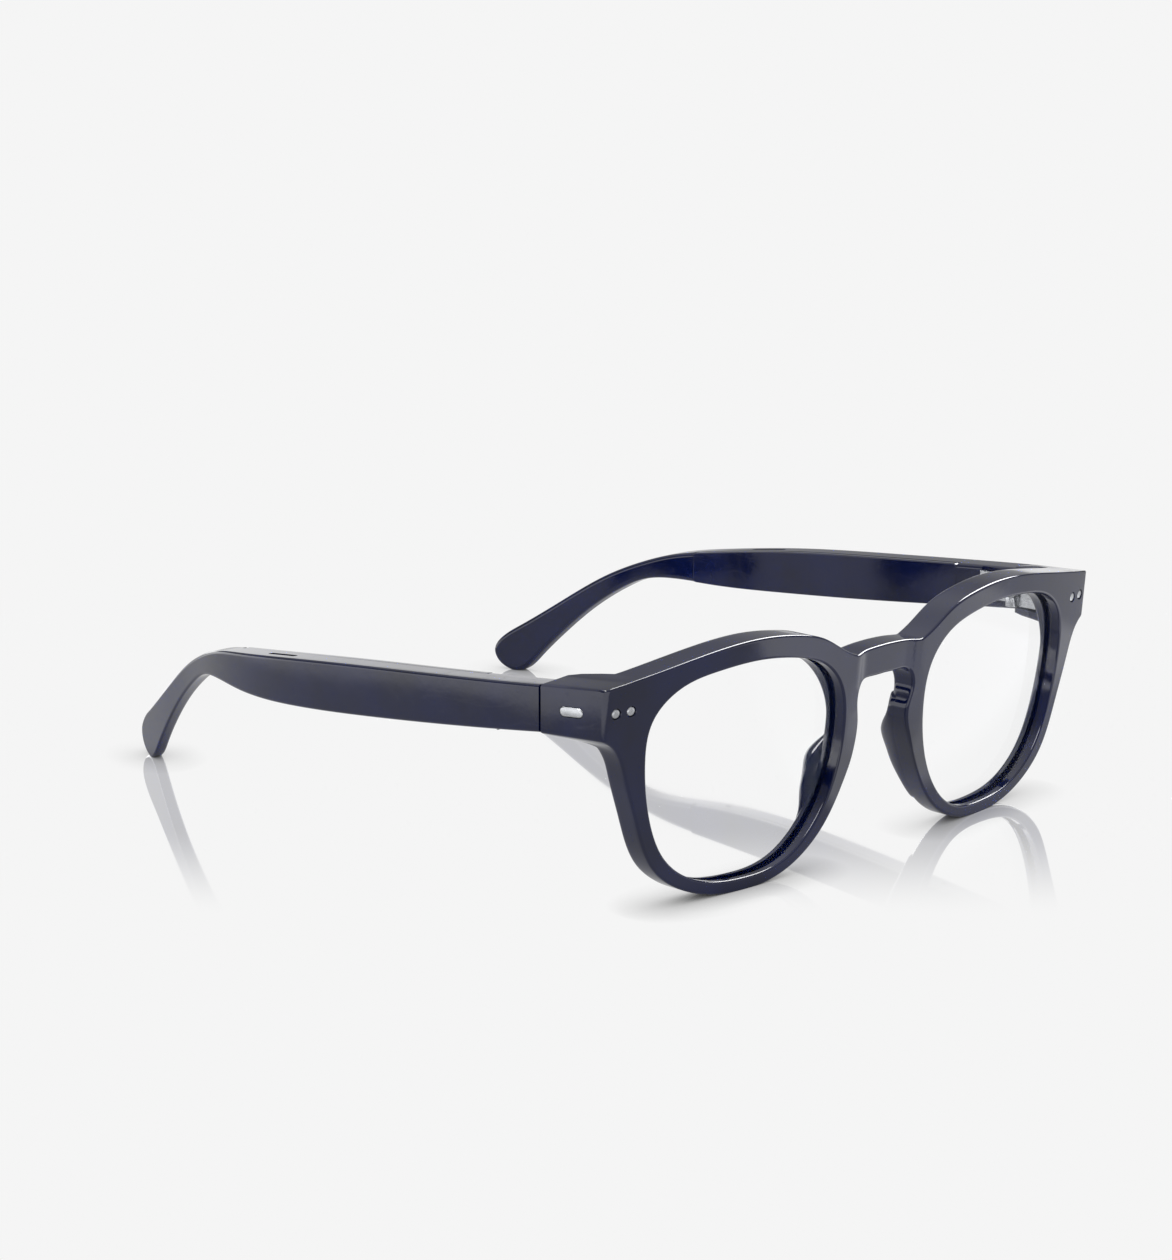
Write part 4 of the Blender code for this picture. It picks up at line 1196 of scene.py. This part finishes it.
def temple_cutters():
    """What is cut out of a left temple shell."""
    skin, _, turn = on_edge(VENT_Y, VENT_DEPTH_IN, top_z, 1.0)
    slot = placed(plate([moved(stadium(*VENT_SIZE), RUN_GAP)], VENT_SLOT), at(*skin, turn))
    low, high = KNUCKLE_SPLITS[0], KNUCKLE_SPLITS[-1]
    seat = plate([leaf_outline(TEMPLE_ARM_END, TEMPLE_ARM_LEAN, SEAM_GAP)], high - low + 2 * SEAM_GAP)
    seat = placed(seat, at(0.0, 0.0, (low + high) / 2))
    cuts = (*hollow_cutters(), slot, *port_cutters(), seat)
    return [solid(bm, f"cut_{i}") for i, bm in enumerate(cuts)]


def button_pocket():
    """The pocket under the right temple for the push button, as a left-hand cutter."""
    skin, down, turn = on_edge(BUTTON_Y, BUTTON_DEPTH_IN, bottom_z, -1.0)
    length, width, _ = BUTTON_SIZE
    bm = plate([moved(stadium(length, width), BUTTON_CLEARANCE)], POCKET_DEPTH + CUTTER_PROUD)
    return solid(placed(bm, at(*(skin - down * (POCKET_DEPTH - CUTTER_PROUD) / 2), turn)), "cut_button")


def build_temple_shells():
    bm = temple_plate(temple_outline(), constant(0.0), temple_thickness, OUTER_EDGE, INNER_EDGE, 1.6)
    start = (SEAM_Y + SEAM_GAP - Y_ORIGIN) * MM
    parts = bm.verts[:] + bm.edges[:] + bm.faces[:]
    cut = bmesh.ops.bisect_plane(bm, geom=parts, dist=1e-7, plane_co=(0.0, start, 0.0),
                                 plane_no=(0.0, 1.0, 0.0), clear_inner=True)
    bmesh.ops.contextual_create(bm, geom=[e for e in cut["geom_cut"] if isinstance(e, bmesh.types.BMEdge)])
    left = solid(bm, "temple_shell_fine_left")
    right = mirrored(left, "temple_shell_fine_right")
    cutters = temple_cutters()
    others = [mirrored(c, c.name + "_right") for c in cutters]
    pocket = button_pocket()
    others.append(mirrored(pocket, "cut_button_right"))
    bpy.data.objects.remove(pocket)
    carve(left, *cutters)
    carve(right, *others)
    piece(left, "temple_left", PLASTIC, "temple_shell_left")
    piece(right, "temple_right", PLASTIC, "temple_shell_right")


def build_covers():
    outline = rounded_band(COVER_START, COVER_END, 0.05, 0.7)
    bm = temple_plate(outline, cover_face, temple_thickness, 0.04, 0.12, 1.6)
    both_sides(solid(bm, "temple_cover_fine_left"), "temple_cover", TEMPLES, PLASTIC)


def build_grilles():
    """Perforated inserts: two rows of small round holes."""
    skin, up, turn = on_edge(VENT_Y, VENT_DEPTH_IN, top_z, 1.0)
    loops = [stadium(*VENT_SIZE)]
    for row, v in enumerate((-0.2, 0.2)):
        loops += [circle(u + 0.22 * row, v, 0.12, 10) for u in np.arange(-3.6, 3.5, GRILLE_PITCH)]
    bm = placed(plate(loops, GRILLE_THICK), at(*(skin - up * GRILLE_SINK), turn))
    both_sides(solid(bm, "vent_grille_fine_left"), "vent_grille", TEMPLES, MESH)


# ---------------------------------------------------------------- hinges and button

def build_hinges():
    """The leaves of both hinges: two knuckles on the end piece, one between them on the temple."""
    bottom, low, high, top = KNUCKLE_SPLITS
    seat = at(0.0, 0.0, (top + bottom) / 2)
    bore = circle(PIN_X, PIN_Y, PIN_R + RUN_GAP, 32)
    reach = KNUCKLE_R + SEAM_GAP
    play = KNUCKLE_PLAY
    front_leaf = plate([leaf_outline(FRONT_ARM_END, 0.0), bore], top - bottom)
    front_leaf = solid(placed(front_leaf, seat), "hinge_front_fine_left")
    gap = block((PIN_X - 3, PIN_Y - reach, low - play), (PIN_X + 3, PIN_Y + 3, high + play))
    carve(front_leaf, solid(gap, "knuckle_gap"))
    temple_leaf = plate([leaf_outline(TEMPLE_ARM_END, TEMPLE_ARM_LEAN), bore], top - bottom - 1.0)
    temple_leaf = solid(placed(temple_leaf, seat), "hinge_temple_fine_left")
    notches = [solid(block((PIN_X - 3, PIN_Y - 3, z0), (PIN_X + 3, PIN_Y + reach, z1)), f"notch_{z0}")
               for z0, z1 in ((high - play, top + 1), (bottom - 1, low + play))]
    carve(temple_leaf, *notches)
    for leaf, node, bodies in ((front_leaf, "hinge_front", FRONT), (temple_leaf, "hinge_temple", TEMPLES)):
        evaluated(soften(leaf, 0.08, 2))
        both_sides(leaf, node, bodies, STEEL)


def build_hinge_screws():
    """The slotted screws that are the hinges' pins."""
    half = (KNUCKLE_SPLITS[-1] - KNUCKLE_SPLITS[0]) / 2
    top = KNUCKLE_SPLITS[-1]
    profile = [(0.0, half), (PIN_R - 0.1, half), (PIN_R, half - 0.1), (PIN_R, 0.1 - half),
               (PIN_R - 0.1, -half), (0.0, -half)]
    screw = solid(placed(turned(profile, 32), at(PIN_X, PIN_Y, top - half)), "hinge_screw_fine_left")
    slot = block((PIN_X - 1, PIN_Y - 0.09, top - 0.3), (PIN_X + 1, PIN_Y + 0.09, top + 1))
    carve(screw, solid(slot, "slot"))
    both_sides(screw, "hinge_screw", FRONT, STEEL)


def build_button():
    """The push button: a soft-edged cap with a raised ridge across its middle."""
    skin, down, turn = on_edge(BUTTON_Y, BUTTON_DEPTH_IN, bottom_z, -1.0)
    length, width, thick = BUTTON_SIZE
    seat = at(*(skin + down * (BUTTON_PROUD - thick / 2)), turn)
    cap_piece = solid(placed(plate([stadium(length, width, 16)], thick, 0.25, 3), seat), "button_left")
    ridge = placed(plate([stadium(1.1, 0.5)[:, ::-1]], 0.5, 0.1, 2), at(*(skin + down * BUTTON_PROUD), turn))
    carve(cap_piece, solid(ridge, "ridge"), operation="UNION")
    button = mirrored(cap_piece, "push_button_fine")
    bpy.data.objects.remove(cap_piece)
    piece(button, "button", DARK, "push_button")


def finish_inside(nodes):
    """Materials of the CAD nodes that stay as they are, inside the temples."""
    can = brushed_metal("metal_can", (0.70, 0.68, 0.62), 0.3)
    kinds = {
        "battery": battery_foil(), "circuit_board": circuit_board(), "charge_coil": coil_copper(),
        "processor": moulded("chip", (0.03, 0.03, 0.035), 0.4, 3500.0, 0.01), "speaker": can,
        "microphone": can, "flex_cable": flex_cable(), "button_switch": STEEL,
    }
    for name, node in nodes.items():
        kind = next((k for k in kinds if name.startswith(k)), None)
        if kind:
            node.data.materials.clear()
            node.data.materials.append(kinds[kind])


# ---------------------------------------------------------------- studio

def bearing_of(tree, place):
    return maths(tree, "ARCTAN2", place.outputs[1], place.outputs[0])


def bearing_light(tree, place):
    """1 except in one narrow range of bearings, where the room is dim down to the horizon."""
    bearing = bearing_of(tree, place)
    return maths(tree, "MAXIMUM", faded(tree, bearing, 0.61, 0.59), faded(tree, bearing, 0.745, 0.785))


def lit_patches(tree, where, out):
    """How bright the table is for the object's own gloss: dim, with brighter lit patches out to the
    left and in front."""
    place = add_node(tree, "ShaderNodeSeparateXYZ", {0: where})
    x, y, _ = place.outputs
    ring = product(tree, faded(tree, out, 0.18, 0.194), faded(tree, x, -0.02, -0.06))
    across = vector_maths(tree, "DOT_PRODUCT", where, (0.9, 0.437, 0.0))
    ahead = product(tree, faded(tree, across, -0.036, -0.031), faded(tree, y, -0.084, -0.092),
                    faded(tree, x, 0.155, 0.17, 1.0, 0.25))
    distant = product(tree, faded(tree, out, 0.3, 0.8, 0.0, 0.3), bearing_light(tree, place))
    lit = maths(tree, "MAXIMUM", maths(tree, "MAXIMUM", ring, ahead), distant)
    return ranged(tree, lit, *PATCH_LEVELS, 0.0, 1.0)


def mirror_share(tree, where, out):
    """How much of the table's look is its mirror image: only near the object and at a low angle."""
    along = vector_maths(tree, "DOT_PRODUCT", where, VIEW_ALONG)
    return product(tree, faded(tree, along, *MIRROR_NEAR), faded(tree, along, *MIRROR_FAR, 0.0, MIRROR_SHARE),
                   faded(tree, slant(tree), *MIRROR_SLANT), faded(tree, out, *MIRROR_OUT))


def floor_material():
    """Pale polished table: even in tone, with contact shadows and a mirror image."""
    material, tree, output = own_surface("table_top", (0.8, 0.8, 0.8))
    where = add_node(tree, "ShaderNodeTexCoord").outputs["Object"]
    out = vector_maths(tree, "LENGTH", where)
    contact = add_node(tree, "ShaderNodeAmbientOcclusion", {"Distance": CONTACT_REACH}, samples=12)
    gloss_ray = add_node(tree, "ShaderNodeLightPath").outputs["Is Glossy Ray"]
    level = chosen(tree, gloss_ray, TABLE_LEVEL, lit_patches(tree, where, out))
    glow = add_node(tree, "ShaderNodeEmission", {"Strength": product(tree, level, contact.outputs["AO"])})
    polish = ranged(tree, noise(tree, 25.0, 4.0), 0.02, 0.05)
    gain = TABLE_LEVEL / ROOM_LEVEL
    gloss = add_node(tree, "ShaderNodeBsdfAnisotropic", {"Color": scaled(WHITE, gain), "Roughness": polish})
    feed(tree, output, {"Surface": mixed(tree, mirror_share(tree, where, out), glow, gloss)})
    material.cycles.emission_sampling = "NONE"
    return material


def build_floor():
    bm = bmesh.new()
    bm.faces.new([bm.verts.new(corner) for corner in TABLE_CORNERS])
    floor = solid(bm, "table_top")
    floor.data.materials.append(floor_material())


def soft_box(tree, where, aim, angles, level):
    """A round light in the sky, full out to the first angle and faded at the second."""
    facing = vector_maths(tree, "DOT_PRODUCT", where, Vector(aim).normalized())
    near, far = (math.cos(math.radians(a)) for a in angles)
    return faded(tree, facing, far, near, 0.0, level)


def mirrored_room(tree, direct):
    """Brightness of the room as it is mirrored: dim, with a bright horizon, a paler ceiling and soft
    boxes, which only show in the object itself."""
    where = add_node(tree, "ShaderNodeTexCoord").outputs["Generated"]
    place = add_node(tree, "ShaderNodeSeparateXYZ", {0: where})
    height = place.outputs[2]
    ceiling = faded(tree, height, 0.36, 0.85, ROOM_LEVEL, CEILING_LEVEL)
    glow = faded(tree, bearing_of(tree, place), 0.9, 1.1, 0.8, 2.4)
    horizon = product(tree, faded(tree, height, 0.155, 0.125), glow, bearing_light(tree, place))
    boxes = maths(tree, "ADD", *(soft_box(tree, where, *box) for box in SOFT_BOXES))
    return maths(tree, "ADD", maths(tree, "ADD", ceiling, horizon), product(tree, boxes, direct))


def build_world():
    """Even light for what is lit, and a room for what is mirrored."""
    world = bpy.data.worlds.new("studio")
    bpy.context.scene.world = world
    world.use_nodes = True
    world.cycles.sampling_method = "NONE"
    tree = world.node_tree
    tree.nodes.clear()
    ray = add_node(tree, "ShaderNodeLightPath").outputs
    direct = maths(tree, "LESS_THAN", ray["Glossy Depth"], 1.5)
    dome = chosen(tree, ray["Is Camera Ray"], DOME_LEVEL, TABLE_LEVEL)
    even, mirror = (add_node(tree, "ShaderNodeBackground", {"Color": WHITE, "Strength": level})
                    for level in (dome, mirrored_room(tree, direct)))
    add_node(tree, "ShaderNodeOutputWorld", {0: mixed(tree, ray["Is Glossy Ray"], even, mirror)})


def build_camera():
    scene = bpy.context.scene
    camera = bpy.data.objects.new("camera", bpy.data.cameras.new("camera"))
    scene.collection.objects.link(camera)
    camera.location = CAMERA_AT
    camera.rotation_euler = Vector(CAMERA_TOWARDS).to_track_quat("-Z", "Y").to_euler()
    camera.data.lens = CAMERA_LENS
    camera.data.sensor_width = 36.0
    camera.data.clip_start = 0.01
    camera.data.clip_end = 100.0
    scene.camera = camera
    scene.view_settings.view_transform = "Standard"


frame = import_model()
hinge = next(j for j in frame["joints"] if j["name"] == "left_temple_fold")
PIN_X = hinge["pos_m"][0] / MM
Y_ORIGIN = PIN_Y - hinge["pos_m"][1] / MM

slots = {m["slot"]: m for m in frame["record"]["materials"]}
PLASTIC = navy_plastic()
GLASS = clear_lens()
STEEL = brushed_metal("satin_steel", tuple(slots["satin_steel"]["base_color"][:3]), 0.28)
MESH = moulded("vent_mesh", (0.03, 0.03, 0.035), 0.5, 4000.0, 0.01)
DARK = moulded("button_plastic", (0.008, 0.010, 0.030), 0.25, 2500.0, 0.006)

build_front()
build_lenses()
build_rivets()
build_inlays()
build_nose_pads()
build_temple_shells()
build_covers()
build_grilles()
build_hinges()
build_hinge_screws()
build_button()
finish_inside(frame["nodes"])
build_floor()
build_world()
build_camera()
